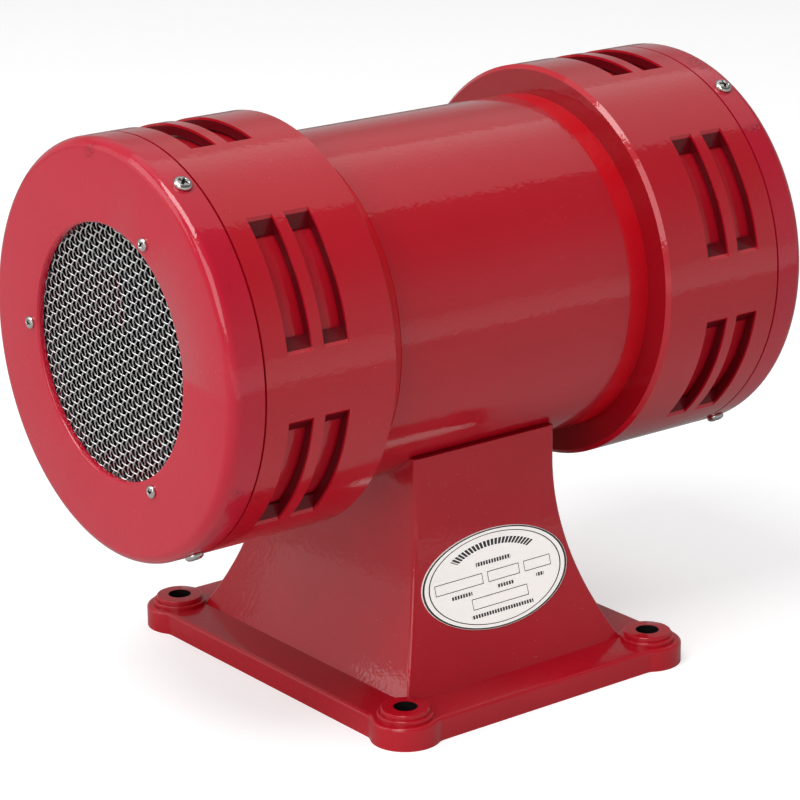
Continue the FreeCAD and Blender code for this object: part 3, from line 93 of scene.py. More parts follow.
class Graph:
    """Short way to write shader and geometry node trees."""

    def __init__(self, tree: Tree) -> None:
        """Start on a tree.

        Args:
            tree: the node tree that gets the nodes.
        """
        self.tree = tree
        self.count = 0

    def add(self, kind: str, inputs: Optional[Dict[object, object]] = None, **settings: object) -> Node:
        """Add a node.

        Args:
            kind: the node's type name.
            inputs: socket name or number, to a value or to another node's output.
            settings: properties of the node.

        Returns:
            The new node.
        """
        node = self.tree.nodes.new(kind)
        node.location = (self.count % 12 * 190, -(self.count // 12) * 260)
        self.count += 1
        for name, value in settings.items():
            setattr(node, name, value)
        for key, value in (inputs or {}).items():
            self.feed(value, node.inputs[key])
        return node

    def feed(self, value: object, socket: Socket) -> None:
        """Give a socket a value or another node's output."""
        if isinstance(value, Socket):
            self.tree.links.new(value, socket)
        else:
            socket.default_value = value

    def math(self, operation: str, a: object, b: object = 0.0, c: object = 0.0,
             clamp: bool = False) -> Socket:
        """Math node.

        Args:
            operation: the operation's name.
            a: first value or socket.
            b: second value or socket.
            c: third value or socket.
            clamp: keep the result between 0 and 1.

        Returns:
            The result's socket.
        """
        return self.add("ShaderNodeMath", {0: a, 1: b, 2: c}, operation=operation, use_clamp=clamp).outputs[0]

    def product(self, first: object, *others: object) -> Socket:
        """Product of several values."""
        for other in others:
            first = self.math("MULTIPLY", first, other)
        return first

    def largest(self, masks: Sequence[Socket]) -> Socket:
        """Largest of several masks."""
        total = masks[0]
        for mask in masks[1:]:
            total = self.math("MAXIMUM", total, mask)
        return total

    def between(self, value: Socket, low: float, high: float) -> Socket:
        """Mask that is 1 where a value lies between two limits."""
        return self.product(self.math("GREATER_THAN", value, low), self.math("LESS_THAN", value, high))

    def length(self, a: Socket, b: Socket) -> Socket:
        """Length of a flat vector."""
        return self.math("SQRT", self.math("ADD", self.math("POWER", a, 2.0), self.math("POWER", b, 2.0)))

    def point(self) -> Sequence[Socket]:
        """The three object coordinates of the shaded point."""
        return self.split(self.add("ShaderNodeTexCoord").outputs["Object"])

    def split(self, vector: Socket) -> Sequence[Socket]:
        """The three parts of a vector."""
        return self.add("ShaderNodeSeparateXYZ", {0: vector}).outputs

    def xyz(self, x: object = 0.0, y: object = 0.0, z: object = 0.0) -> Socket:
        """Vector of three values or sockets."""
        return self.add("ShaderNodeCombineXYZ", {0: x, 1: y, 2: z}).outputs[0]

    def effect(self, tree: Tree, inputs: Dict[object, object]) -> Socket:
        """The only output of a shared node group, with its inputs set."""
        return self.add("ShaderNodeGroup", inputs, node_tree=tree).outputs[0]

    def mix(self, factor: object, a: object, b: object) -> Socket:
        """Colour mix.

        Args:
            factor: how much of b shows.
            a: first colour or socket.
            b: second colour or socket.

        Returns:
            The mixed colour's socket.
        """
        return self.add("ShaderNodeMix", {0: factor, 6: a, 7: b}, data_type="RGBA").outputs[2]

    def ramp(self, value: Socket, low: float, high: float) -> Socket:
        """Smooth step of a value.

        Args:
            value: what is stepped.
            low: where the result starts to rise from 0.
            high: where the result reaches 1.

        Returns:
            The mask's socket.
        """
        node = self.add("ShaderNodeMapRange", {0: value, 1: low, 2: high, 3: 0.0, 4: 1.0},
                        interpolation_type="SMOOTHSTEP")
        return node.outputs[0]

    def noise(self, where: Socket, scale: object, detail: float = 2.0,
              rough: float = 0.5) -> Socket:
        """Noise value.

        Args:
            where: coordinates.
            scale: cells per metre, or a socket that gives them.
            detail: octaves.
            rough: weight of the fine octaves.

        Returns:
            The noise value's socket.
        """
        return self.add("ShaderNodeTexNoise", {"Vector": where, "Scale": scale, "Detail": detail,
                                               "Roughness": rough}).outputs[0]


def rgba(colour: Colour) -> Tuple[float, float, float, float]:
    """Colour with a full alpha."""
    return (colour[0], colour[1], colour[2], 1.0)


class Effects:
    """Shader node groups that more than one finish uses. Each is built once."""

    SPECK_SIZE = 0.12
    PATCH_SCALE = 24.0
    PATCH_RANGE = (0.52, 0.60)
    _made: Dict[str, Tree] = {}

    @classmethod
    def _group(cls, name: str, inputs: Sequence[Tuple[str, str, object]], outputs: Sequence[Tuple[str, str]],
               build: Callable[[Graph, Node, Node], None]) -> Tree:
        """Build a group once.

        Args:
            name: the group's name.
            inputs: name, socket type and default of each input.
            outputs: name and socket type of each output.
            build: fills the tree between its input and output nodes.

        Returns:
            The group's tree.
        """
        if name in cls._made:
            return cls._made[name]
        tree = bpy.data.node_groups.new(name, "ShaderNodeTree")
        for label, kind, default in inputs:
            socket = tree.interface.new_socket(name=label, in_out="INPUT", socket_type=kind)
            socket.default_value = default
        for label, kind in outputs:
            tree.interface.new_socket(name=label, in_out="OUTPUT", socket_type=kind)
        graph = Graph(tree)
        build(graph, graph.add("NodeGroupInput"), graph.add("NodeGroupOutput"))
        cls._made[name] = tree
        return tree

    @classmethod
    def skin(cls) -> Tree:
        """Height of sprayed paint or a moulded skin: a slow wave under a fine peel.

        Returns:
            Group with inputs Wave Scale, Peel Scale, Wave, Peel, and output Height.
        """
        def build(g: Graph, start: Node, end: Node) -> None:
            """Fill the tree."""
            where = g.add("ShaderNodeTexCoord").outputs["Object"]
            wave = g.noise(where, start.outputs["Wave Scale"], 1.0)
            peel = g.noise(where, start.outputs["Peel Scale"], 2.0)
            peel = g.product(peel, start.outputs["Peel"])
            g.feed(g.math("ADD", g.product(wave, start.outputs["Wave"]), peel), end.inputs["Height"])

        kinds = [("Wave Scale", "NodeSocketFloat", 60.0), ("Peel Scale", "NodeSocketFloat", 600.0),
                 ("Wave", "NodeSocketFloat", 0.5), ("Peel", "NodeSocketFloat", 0.1)]
        return cls._group("paint_skin", kinds, [("Height", "NodeSocketFloat")], build)

    @classmethod
    def specks(cls) -> Tree:
        """Sparse dust specks and short scuffs as a mask.

        Returns:
            Group with inputs Scale and Amount, and output Mask.
        """
        def build(g: Graph, start: Node, end: Node) -> None:
            """Fill the tree."""
            where = g.add("ShaderNodeTexCoord").outputs["Object"]
            cells = g.add("ShaderNodeTexVoronoi", {"Vector": where, "Scale": start.outputs["Scale"]},
                          feature="F1").outputs["Distance"]
            dot = g.math("LESS_THAN", cells, g.product(start.outputs["Amount"], cls.SPECK_SIZE))
            patch = g.ramp(g.noise(where, cls.PATCH_SCALE, 3.0), *cls.PATCH_RANGE)
            g.feed(g.product(dot, patch), end.inputs["Mask"])

        kinds = [("Scale", "NodeSocketFloat", 700.0), ("Amount", "NodeSocketFloat", 0.5)]
        return cls._group("specks", kinds, [("Mask", "NodeSocketFloat")], build)

    @classmethod
    def mottle(cls) -> Tree:
        """Slow uneven tone as a mask.

        Returns:
            Group with inputs Scale and Contrast, and output Tone.
        """
        def build(g: Graph, start: Node, end: Node) -> None:
            """Fill the tree."""
            where = g.add("ShaderNodeTexCoord").outputs["Object"]
            tone = g.noise(where, start.outputs["Scale"], 4.0, 0.6)
            centred = g.product(g.math("SUBTRACT", tone, 0.5), start.outputs["Contrast"])
            g.feed(g.math("ADD", centred, 0.5, clamp=True), end.inputs["Tone"])

        kinds = [("Scale", "NodeSocketFloat", 30.0), ("Contrast", "NodeSocketFloat", 1.0)]
        return cls._group("mottle", kinds, [("Tone", "NodeSocketFloat")], build)


class Finish:
    """A finish that makes its material once."""

    _made: Dict[str, bpy.types.Material] = {}
    name: str = "finish"

    def material(self) -> bpy.types.Material:
        """The finish's material.

        Returns:
            The material, made on the first call.
        """
        if self.name not in Finish._made:
            made = bpy.data.materials.new(self.name)
            made.use_nodes = True
            made.node_tree.nodes.clear()
            graph = Graph(made.node_tree)
            shader = graph.add("ShaderNodeBsdfPrincipled")
            graph.add("ShaderNodeOutputMaterial", {"Surface": shader.outputs[0]})
            self.dress(graph, shader)
            Finish._made[self.name] = made
        return Finish._made[self.name]

    def dress(self, graph: Graph, shader: Node) -> None:
        """Fill the material.

        Args:
            graph: the material's tree.
            shader: its Principled shader.
        """
        raise NotImplementedError

    def bump(self, graph: Graph, shader: Node, height: Socket, depth: float,
             sockets: Sequence[str] = ("Normal",)) -> None:
        """Drive the shader's normal from a height.

        Args:
            graph: the material's tree.
            shader: its Principled shader.
            height: height from 0 to 1.
            depth: what a height of 1 stands for, in metres.
            sockets: the normal sockets that are fed.
        """
        node = graph.add("ShaderNodeBump", {"Strength": 1.0, "Distance": depth, "Height": height})
        for socket in sockets:
            graph.feed(node.outputs[0], shader.inputs[socket])

    def vary_rough(self, graph: Graph, shader: Node, tone: Socket, least: float,
                   spread: float) -> None:
        """Let the roughness follow a tone.

        Args:
            graph: the material's tree.
            shader: its Principled shader.
            tone: tone from 0 to 1.
            least: roughness at a tone of 0.
            spread: what a tone of 1 adds.
        """
        graph.feed(graph.math("MULTIPLY_ADD", tone, spread, least), shader.inputs["Roughness"])


@dataclass(frozen=True)
class PaintedLightBand:
    """Band of a turned casting with painted light: a painted shade or painted reflection colour and its own
    clear coat, inside a radius, between two stations.
    """

    radius: float
    near: float
    far: float
    tone: Colour
    coat: float


@dataclass(frozen=True)
class Scuffs:
    """Worn marks on a ring about the siren's axis."""

    inner: float
    outer: float
    strength: float
    patch_scale: float = 75.0
    patch_range: Tuple[float, float] = (0.62, 0.72)
    grit_scale: float = 1100.0
    grit_range: Tuple[float, float] = (0.48, 0.66)


@dataclass(frozen=True)
class EnamelFinish(Finish):
    """Sprayed gloss enamel over a casting."""

    name: str = "red_enamel"
    base: Colour = (0.44, 0.0040, 0.0150)
    deep: Colour = (0.39, 0.0028, 0.0110)
    dust: Colour = (0.75, 0.35, 0.35)
    # near black of painted shade in holes and inside a rotor's rim, and of real scuffs
    shade_and_wear_colour: Colour = (0.010, 0.008, 0.008)
    rough: float = 0.35
    rough_spread: float = 0.10
    under_gloss: float = 0.15
    coat: float = 1.0
    coat_rough: float = 0.03
    coat_ior: float = 1.5
    tone_scale: float = 18.0
    tone_contrast: float = 1.6
    dust_scale: float = 420.0
    dust_amount: float = 0.55
    dust_strength: float = 0.5
    wave_scale: float = 95.0
    wave: float = 0.38
    peel_scale: float = 480.0
    peel: float = 0.36
    depth: float = 0.00019
    holes: Tuple[Tuple[float, float, float], ...] = ()
    scuffs: Optional[Scuffs] = None
    # radius inside which a rotor gets painted shade
    shaded_within: float = 0.0
    # painted light bands: painted shade or painted reflection on parts of a turned casting
    painted_light_bands: Tuple[PaintedLightBand, ...] = ()

    def dress(self, graph: Graph, shader: Node) -> None:
        """Fill the material."""
        tone = graph.effect(Effects.mottle(), {"Scale": self.tone_scale, "Contrast": self.tone_contrast})
        colour = graph.mix(tone, rgba(self.deep), rgba(self.base))
        dust = graph.effect(Effects.specks(), {"Scale": self.dust_scale, "Amount": self.dust_amount})
        colour = graph.mix(graph.product(dust, self.dust_strength), colour, rgba(self.dust))
        coat = self.coat
        # mix each band's painted shade or painted reflection into the colour
        for zone in self.painted_light_bands:
            inside = self.band(graph, zone)
            colour = graph.mix(inside, colour, rgba(zone.tone))
            coat = graph.math("MULTIPLY_ADD", inside, zone.coat - 1.0, coat)
        # painted shade in holes and inside a rotor's rim, and real scuffs, in near black with no clear coat
        masks = self.shade_and_wear(graph)
        if masks:
            shade_and_wear = graph.largest(masks)
            colour = graph.mix(shade_and_wear, colour, rgba(self.shade_and_wear_colour))
            coat = graph.math("MULTIPLY_ADD", shade_and_wear, -self.coat, coat)
        graph.feed(colour, shader.inputs["Base Color"])
        graph.feed(coat, shader.inputs["Coat Weight"])
        self.vary_rough(graph, shader, tone, self.rough - self.rough_spread / 2, self.rough_spread)
        shader.inputs["Specular IOR Level"].default_value = self.under_gloss
        shader.inputs["Coat Roughness"].default_value = self.coat_rough
        shader.inputs["Coat IOR"].default_value = self.coat_ior
        skin = graph.effect(Effects.skin(), {"Wave Scale": self.wave_scale, "Wave": self.wave,
                                             "Peel Scale": self.peel_scale, "Peel": self.peel})
        self.bump(graph, shader, skin, self.depth, ("Normal", "Coat Normal"))

    def from_axis(self, graph: Graph) -> Socket:
        """Distance from the siren's axis."""
        _, deep, up = graph.point()
        return graph.length(deep, graph.math("SUBTRACT", up, AXIS_HEIGHT))

    def shade_and_wear(self, graph: Graph) -> List[Socket]:
        """Masks of the dark places: painted shade in bolt holes and inside a rotor's rim, and scuffs.

        Args:
            graph: the material's tree.

        Returns:
            The masks' sockets, none where the piece has no dark places.
        """
        masks = []
        # painted shade inside bolt holes
        for x, y, radius in self.holes:
            across, deep, _ = graph.point()
            dx = graph.math("SUBTRACT", graph.math("ABSOLUTE", across), x)
            dy = graph.math("SUBTRACT", graph.math("ABSOLUTE", deep), y)
            masks.append(graph.math("LESS_THAN", graph.length(dx, dy), radius))
        # painted shade inside a rotor's rim
        if self.shaded_within:
            masks.append(graph.math("LESS_THAN", self.from_axis(graph), self.shaded_within))
        if self.scuffs:
            worn = self.scuffs
            where = graph.add("ShaderNodeTexCoord").outputs["Object"]
            ring = graph.between(self.from_axis(graph), worn.inner, worn.outer)
            patch = graph.ramp(graph.noise(where, worn.patch_scale, 2.0), *worn.patch_range)
            grit = graph.ramp(graph.noise(where, worn.grit_scale, 3.0, 0.7), *worn.grit_range)
            masks.append(graph.product(ring, patch, grit, worn.strength))
        return masks

    def band(self, graph: Graph, zone: PaintedLightBand) -> Socket:
        """Mask of a zone, the same at both ends of the siren.

        Args:
            graph: the material's tree.
            zone: the zone.

        Returns:
            The mask's socket.
        """
        side = graph.math("ABSOLUTE", graph.point()[0])
        inside = graph.math("LESS_THAN", self.from_axis(graph), zone.radius)
        return graph.product(graph.between(side, zone.near, zone.far), inside)


@dataclass(frozen=True)
class MetalFinish(Finish):
    """Bare or plated metal."""

    name: str = "bright_zinc"
    base: Colour = (0.78, 0.77, 0.74)
    dark: Colour = (0.45, 0.44, 0.42)
    # painted shade in a pressed recess
    recess_shade: Colour = (0.03, 0.028, 0.025)
    rough: float = 0.22
    rough_spread: float = 0.12
    grain_scale: float = 900.0
    grain_depth: float = 0.00003
    tone_share: float = 0.3
    contrast: float = 1.2
    wave_share: float = 0.25
    wave: float = 0.4
    peel: float = 0.6
    pressed: str = ""
    pressed_range: Tuple[float, float] = (0.10, 0.45)

    def dress(self, graph: Graph, shader: Node) -> None:
        """Fill the material."""
        tone = graph.effect(Effects.mottle(), {"Scale": self.grain_scale * self.tone_share,
                                               "Contrast": self.contrast})
        colour = graph.mix(tone, rgba(self.dark), rgba(self.base))
        # painted shade: darker where the head is pressed in
        if self.pressed:
            sunk = graph.add("ShaderNodeAttribute", attribute_name=self.pressed).outputs["Fac"]
            colour = graph.mix(graph.ramp(sunk, *self.pressed_range), colour, rgba(self.recess_shade))
        graph.feed(colour, shader.inputs["Base Color"])
        self.vary_rough(graph, shader, tone, self.rough - self.rough_spread / 2, self.rough_spread)
        shader.inputs["Metallic"].default_value = 1.0
        skin = graph.effect(Effects.skin(), {"Wave Scale": self.grain_scale * self.wave_share,
                                             "Wave": self.wave, "Peel Scale": self.grain_scale,
                                             "Peel": self.peel})
        self.bump(graph, shader, skin, self.grain_depth)


@dataclass(frozen=True)
class StackFinish(Finish):
    """Stacked steel laminations: fine rings across the siren's axis."""

    name: str = "laminations"
    base: Colour = (0.34, 0.33, 0.33)
    dark: Colour = (0.12, 0.12, 0.13)
    sheets_per_metre: float = 1600.0
    tone_scale: float = 120.0
    metal: float = 0.8
    rough: float = 0.35
    rough_spread: float = 0.2
    depth: float = 0.0001

    def dress(self, graph: Graph, shader: Node) -> None:
        """Fill the material."""
        where = graph.add("ShaderNodeTexCoord").outputs["Object"]
        sheets = {"Vector": where, "Scale": self.sheets_per_metre / math.tau, "Distortion": 0.0}
        bands = graph.add("ShaderNodeTexWave", sheets, bands_direction="X").outputs["Fac"]
        tone = graph.product(bands, graph.effect(Effects.mottle(), {"Scale": self.tone_scale}))
        graph.feed(graph.mix(tone, rgba(self.dark), rgba(self.base)), shader.inputs["Base Color"])
        shader.inputs["Metallic"].default_value = self.metal
        self.vary_rough(graph, shader, bands, self.rough, self.rough_spread)
        self.bump(graph, shader, bands, self.depth)


@dataclass(frozen=True)
class WindingFinish(Finish):
    """Enamelled copper wire, wound in rows."""

    name: str = "copper_winding"
    base: Colour = (0.62, 0.22, 0.07)
    dark: Colour = (0.22, 0.06, 0.02)
    wires_per_metre: float = 1500.0
    stray: float = 1.5
    metal: float = 0.6
    rough: float = 0.28
    rough_spread: float = 0.15
    depth: float = 0.00025

    def dress(self, graph: Graph, shader: Node) -> None:
        """Fill the material."""
        where = graph.add("ShaderNodeTexCoord").outputs["Object"]
        wires = {"Vector": where, "Scale": self.wires_per_metre / math.tau, "Distortion": self.stray,
                 "Detail": 1.0}
        rows = graph.add("ShaderNodeTexWave", wires, bands_direction="DIAGONAL").outputs["Fac"]
        graph.feed(graph.mix(rows, rgba(self.dark), rgba(self.base)), shader.inputs["Base Color"])
        shader.inputs["Metallic"].default_value = self.metal
        self.vary_rough(graph, shader, rows, self.rough, self.rough_spread)
        self.bump(graph, shader, rows, self.depth)


@dataclass(frozen=True)
class MouldedFinish(Finish):
    """Moulded plastic, rubber, carbon or insulation."""

    name: str = "black_plastic"
    base: Colour = (0.02, 0.02, 0.022)
    pale: Colour = (0.05, 0.05, 0.052)
    rough: float = 0.45
    rough_below: float = 0.07
    rough_spread: float = 0.15
    tone_scale: float = 140.0
    tone_contrast: float = 1.4
    wave_scale: float = 200.0
    wave: float = 0.2
    grain_scale: float = 1400.0
    grain: float = 0.8
    depth: float = 0.00005

    def dress(self, graph: Graph, shader: Node) -> None:
        """Fill the material."""
        tone = graph.effect(Effects.mottle(), {"Scale": self.tone_scale, "Contrast": self.tone_contrast})
        graph.feed(graph.mix(tone, rgba(self.base), rgba(self.pale)), shader.inputs["Base Color"])
        self.vary_rough(graph, shader, tone, self.rough - self.rough_below, self.rough_spread)
        skin = graph.effect(Effects.skin(), {"Wave Scale": self.wave_scale, "Wave": self.wave,
                                             "Peel Scale": self.grain_scale, "Peel": self.grain})
        self.bump(graph, shader, skin, self.depth)


@dataclass(frozen=True)
class LabelFinish(Finish):
    """Printed oval plate: two border lines, empty boxes and short bars in place of lettering.

    Boxes and bars are given as left, right, bottom and top from the plate's centre. The heading is an arc of
    blocks: its inner and outer ring as shares of the oval, and its first and last angle.
    """

    name: str = "printed_plate"
    half_width: float = 0.0375
    half_height: float = 0.0192
    centre_height: float = 0.0455
    paper: Colour = (0.95, 0.93, 0.90)
    aged: Colour = (0.91, 0.88, 0.84)
    ink: Colour = (0.012, 0.012, 0.014)
    # painted light: the plate glows a little, as if more brightly lit
    glow: float = 0.22
    rough: float = 0.35
    coat: float = 0.3
    tone_scale: float = 90.0
    depth: float = 0.00004
    borders: Tuple[Tuple[float, float], ...] = ((0.968, 0.996), (0.896, 0.913))
    boxes: Tuple[Area, ...] = (
        (-0.0310, -0.0065, -0.0015, 0.0028), (-0.0040, 0.0125, -0.0015, 0.0028),
        (0.0150, 0.0290, -0.0015, 0.0028), (-0.0140, 0.0150, -0.0105, -0.0062))
    bars: Tuple[Area, ...] = (
        (-0.0235, -0.0130, -0.0046, -0.0032), (-0.0001, 0.0085, -0.0046, -0.0032),
        (0.0205, 0.0245, -0.0046, -0.0032), (-0.0155, 0.0165, -0.0137, -0.0123),
        (-0.0090, 0.0090, 0.0056, 0.0072))
    heading: Area = (0.65, 0.78, 0.74, 2.40)
    block: float = 0.0014
    heading_blocks: float = 14.0
    split: float = 0.3
    line: float = 0.00032

    def dress(self, graph: Graph, shader: Node) -> None:
        """Fill the material."""
        across, _, height = graph.point()
        up = graph.math("SUBTRACT", height, self.centre_height)
        ink = graph.largest(self.marks(graph, across, up))
        tone = graph.effect(Effects.mottle(), {"Scale": self.tone_scale})
        paper = graph.mix(tone, rgba(self.paper), rgba(self.aged))
        printed = graph.mix(ink, paper, rgba(self.ink))
        graph.feed(printed, shader.inputs["Base Color"])
        # painted light: the plate glows with its own print
        graph.feed(printed, shader.inputs["Emission Color"])
        shader.inputs["Emission Strength"].default_value = self.glow
        shader.inputs["Roughness"].default_value = self.rough
        shader.inputs["Coat Weight"].default_value = self.coat
        self.bump(graph, shader, tone, self.depth)

    def marks(self, graph: Graph, across: Socket,
              up: Socket) -> List[Socket]:
        """Everything printed on the plate.

        Args:
            graph: the material's tree.
            across: coordinate across the plate.
            up: coordinate up the plate, from its centre.

        Returns:
            One mask for each mark.
        """
        wide = graph.math("DIVIDE", across, self.half_width)
        tall = graph.math("DIVIDE", up, self.half_height)
        ring = graph.length(wide, tall)
        turn = graph.math("ARCTAN2", tall, wide)
        masks = [graph.between(ring, low, high) for low, high in self.borders]
        for area in self.boxes:
            masks.append(graph.math("SUBTRACT", self.area(graph, across, up, area, 0.0),
                                    self.area(graph, across, up, area, self.line)))
        part = self.blocks(graph, graph.math("DIVIDE", across, self.block))
        masks.extend(graph.product(self.area(graph, across, up, area, 0.0), part) for area in self.bars)
        inner, outer, first, last = self.heading
        part = self.blocks(graph, graph.product(turn, self.heading_blocks))
        masks.append(graph.product(part, graph.between(ring, inner, outer), graph.between(turn, first, last)))
        return masks

    def blocks(self, graph: Graph, count: Socket) -> Socket:
        """Mask that breaks a bar into blocks, one for each whole number of the count."""
        return graph.math("GREATER_THAN", graph.math("FRACT", count), self.split)

    def area(self, graph: Graph, across: Socket, up: Socket, limits: Area,
             inset: float) -> Socket:
        """Mask of a rectangle on the plate.

        Args:
            graph: the material's tree.
            across: coordinate across the plate.
            up: coordinate up the plate, from its centre.
            limits: left, right, bottom and top.
            inset: how far the rectangle is drawn in.

        Returns:
            The mask's socket.
        """
        left, right, low, high = limits
        return graph.product(graph.between(across, left + inset, right - inset),
                             graph.between(up, low + inset, high - inset))


# ---------------------------------------------------------------- pieces


def body_name(node: str) -> str:
    """Name of the body that holds a CAD node."""
    for body, members in frame["record"]["behaviour"]["bodies"].items():
        if node in members:
            return body
    raise KeyError(node)


def slot_name(node: str) -> str:
    """The record's material slot of a CAD node."""
    for row in frame["record"]["subparts"]:
        if row["node"] == node:
            return row["material_slot"]
    raise KeyError(node)


def put_for(node: str, name: str, mesh: bpy.types.Mesh, finish: Finish) -> bpy.types.Object:
    """Place a finished mesh as the piece that stands for a CAD node.

    Args:
        node: the CAD node, which gives the body.
        name: the piece's name.
        mesh: its mesh, in the row's frame.
        finish: its finish.

    Returns:
        The new object.
    """
    piece = link_object(name, mesh)
    mesh.materials.clear()
    mesh.materials.append(finish.material())
    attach(piece, body_name(node))
    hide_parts(node)
    LOG.info("%s: %d faces", name, len(mesh.polygons))
    return piece


def finish_tree(g: Graph, shape: Socket, material: Socket,
                end: Node) -> None:
    """Close a geometry tree: Realize Instances, Set Material, output.

    Args:
        g: the geometry tree.
        shape: its result so far.
        material: the material input's socket.
        end: the tree's output node.
    """
    solid = g.add("GeometryNodeRealizeInstances", {"Geometry": shape}).outputs[0]
    dressed = g.add("GeometryNodeSetMaterial", {"Geometry": solid, "Material": material}).outputs[0]
    g.feed(dressed, end.inputs["Geometry"])


def link_object(name: str, data: object) -> bpy.types.Object:
    """New object in the scene.

    Args:
        name: the object's name.
        data: its mesh, light or camera.

    Returns:
        The object.
    """
    made = bpy.data.objects.new(name, data)
    bpy.context.scene.collection.objects.link(made)
    return made


@dataclass
class SmoothCasting:
    """A CAD casting shown with smooth curved faces and crisp edges."""

    node: str
    finish: Finish
    crease_deg: float = 32.0
    merge: float = 0.000002

    def build(self) -> bpy.types.Object:
        """Merge a copy of the node's mesh and smooth it.

        Returns:
            The piece that stands for the node.
        """
        mesh = frame["nodes"][self.node].data.copy()
        if "custom_normal" in mesh.attributes:
            mesh.attributes.remove(mesh.attributes["custom_normal"])
        work = bmesh.new()
        work.from_mesh(mesh)
        bmesh.ops.remove_doubles(work, verts=work.verts, dist=self.merge)
        bmesh.ops.dissolve_degenerate(work, edges=work.edges, dist=self.merge)
        crease = math.radians(self.crease_deg)
        for edge in work.edges:
            edge.smooth = len(edge.link_faces) == 2 and edge.calc_face_angle(0.0) < crease
        for face in work.faces:
            face.smooth = True
        work.to_mesh(mesh)
        work.free()
        mesh.name = self.node + "_shown"
        return put_for(self.node, self.node + "_shown", mesh, self.finish)


@dataclass
class IntakeGuard:
    """Woven wire guard of one intake: crimped wires over and under each other."""

    end: End
    finish: Finish
    pitch: float = 0.00315
    wire_radius: float = 0.00035
    radius: float = 0.0527
    turn_deg: float = 16.0
    crimp: float = 1.15
    flatten: float = 0.6
    sides: int = 6
    steps_per_wave: int = 8

    def profile(self) -> float:
        """Station of the guard's middle along X."""
        low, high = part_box("intake_mesh_" + self.end.word)
        return (low.x + high.x) / 2

    def wire(self, tree: Tree) -> None:
        """Fill the tree that makes one layer of parallel crimped wires.

        Args:
            tree: a geometry tree with its sockets already made.
        """
        g = Graph(tree)
        inp, end = g.add("NodeGroupInput").outputs, g.add("NodeGroupOutput")
        rows = g.math("FLOOR", g.math("DIVIDE", inp["Radius"], inp["Pitch"]))
        low = g.xyz(y=g.product(rows, inp["Pitch"], -1.0))
        starts = g.add("GeometryNodeMeshLine", {
            "Count": g.math("MULTIPLY_ADD", rows, 2.0, 1.0), "Start Location": low,
            "Offset": g.xyz(y=inp["Pitch"])}, mode="OFFSET").outputs[0]
        points = g.add("GeometryNodeMeshToPoints", {"Mesh": starts}).outputs[0]
        _, across, _ = g.split(g.add("GeometryNodeInputPosition").outputs[0])
        room = g.math("SUBTRACT", g.math("POWER", inp["Radius"], 2.0), g.math("POWER", across, 2.0))
        chord = g.math("SQRT", g.math("MAXIMUM", room, 0.000001))
        index = g.add("GeometryNodeInputIndex").outputs[0]
        stored = g.add("GeometryNodeStoreNamedAttribute", {"Geometry": points, "Name": "row", "Value": index},
                       data_type="FLOAT", domain="POINT").outputs[0]
        line = g.add("GeometryNodeCurvePrimitiveLine", {"Start": (-1.0, 0.0, 0.0),
                                                        "End": (1.0, 0.0, 0.0)}).outputs[0]
        copies = g.add("GeometryNodeInstanceOnPoints", {"Points": stored, "Instance": line,
                                                        "Scale": g.xyz(chord, 1.0, 1.0)}).outputs[0]
        lines = g.add("GeometryNodeRealizeInstances", {"Geometry": copies}).outputs[0]
        fine = g.add("GeometryNodeResampleCurve", {"Curve": lines, "Length": inp["Step"]},
                     mode="LENGTH").outputs[0]
        along, _, _ = g.split(g.add("GeometryNodeInputPosition").outputs[0])
        row = g.add("GeometryNodeInputNamedAttribute", {"Name": "row"}, data_type="FLOAT").outputs[0]
        phase = g.product(g.math("ADD", row, inp["Shift"]), math.pi)
        turns = g.product(g.math("DIVIDE", along, inp["Pitch"]), math.pi)
        wave = g.math("COSINE", g.math("ADD", turns, phase))
        soft = g.product(g.math("SIGN", wave), g.math("POWER", g.math("ABSOLUTE", wave), self.flatten))
        lift = g.xyz(z=g.product(soft, inp["Crimp"], inp["Wire Radius"]))
        bent = g.add("GeometryNodeSetPosition", {"Geometry": fine, "Offset": lift}).outputs[0]
        ring = g.add("GeometryNodeCurvePrimitiveCircle", {
            "Resolution": self.sides, "Radius": inp["Wire Radius"]}, mode="RADIUS").outputs[0]
        tube = g.add("GeometryNodeCurveToMesh", {"Curve": bent, "Profile Curve": ring,
                                                 "Fill Caps": True}).outputs[0]
        smooth = g.add("GeometryNodeSetShadeSmooth", {"Geometry": tube, "Shade Smooth": True}).outputs[0]
        turned = g.add("GeometryNodeTransform", {"Geometry": smooth,
                                                 "Rotation": g.xyz(z=inp["Turn"])}).outputs[0]
        finish_tree(g, turned, inp["Material"], end)

    def layer(self, turn: float, shift: float) -> bpy.types.Mesh:
        """One layer of wires as a plain mesh in the XY plane.

        Args:
            turn: turn about the guard's axis, in radians.
            shift: 0 or 1, which row starts over.

        Returns:
            The layer's mesh.
        """
        values = {"Radius": self.radius, "Pitch": self.pitch, "Wire Radius": self.wire_radius,
                  "Crimp": self.crimp, "Step": self.pitch * 2 / self.steps_per_wave,
                  "Turn": turn, "Shift": shift}
        return run_tree("crimped_wires", values, self.wire, self.finish.material())

    def build(self) -> bpy.types.Object:
        """Weave both layers and set them in the cap.

        Returns:
            The piece that stands for the mesh node.
        """
        turn = math.radians(self.turn_deg)
        join = bmesh.new()
        for angle, shift in ((turn, 0.0), (turn + math.pi / 2, 1.0)):
            layer = self.layer(angle, shift)
            join.from_mesh(layer)
            bpy.data.meshes.remove(layer)
        place = Matrix.Translation((self.profile(), 0.0, AXIS_HEIGHT)) @ Matrix.Rotation(math.pi / 2, 4, "Y")
        bmesh.ops.transform(join, matrix=place, verts=join.verts)
        bmesh.ops.recalc_face_normals(join, faces=join.faces)
        mesh = bpy.data.meshes.new("intake_wires_" + self.end.word)
        join.to_mesh(mesh)
        join.free()
        return put_for("intake_mesh_" + self.end.word, mesh.name, mesh, self.finish)


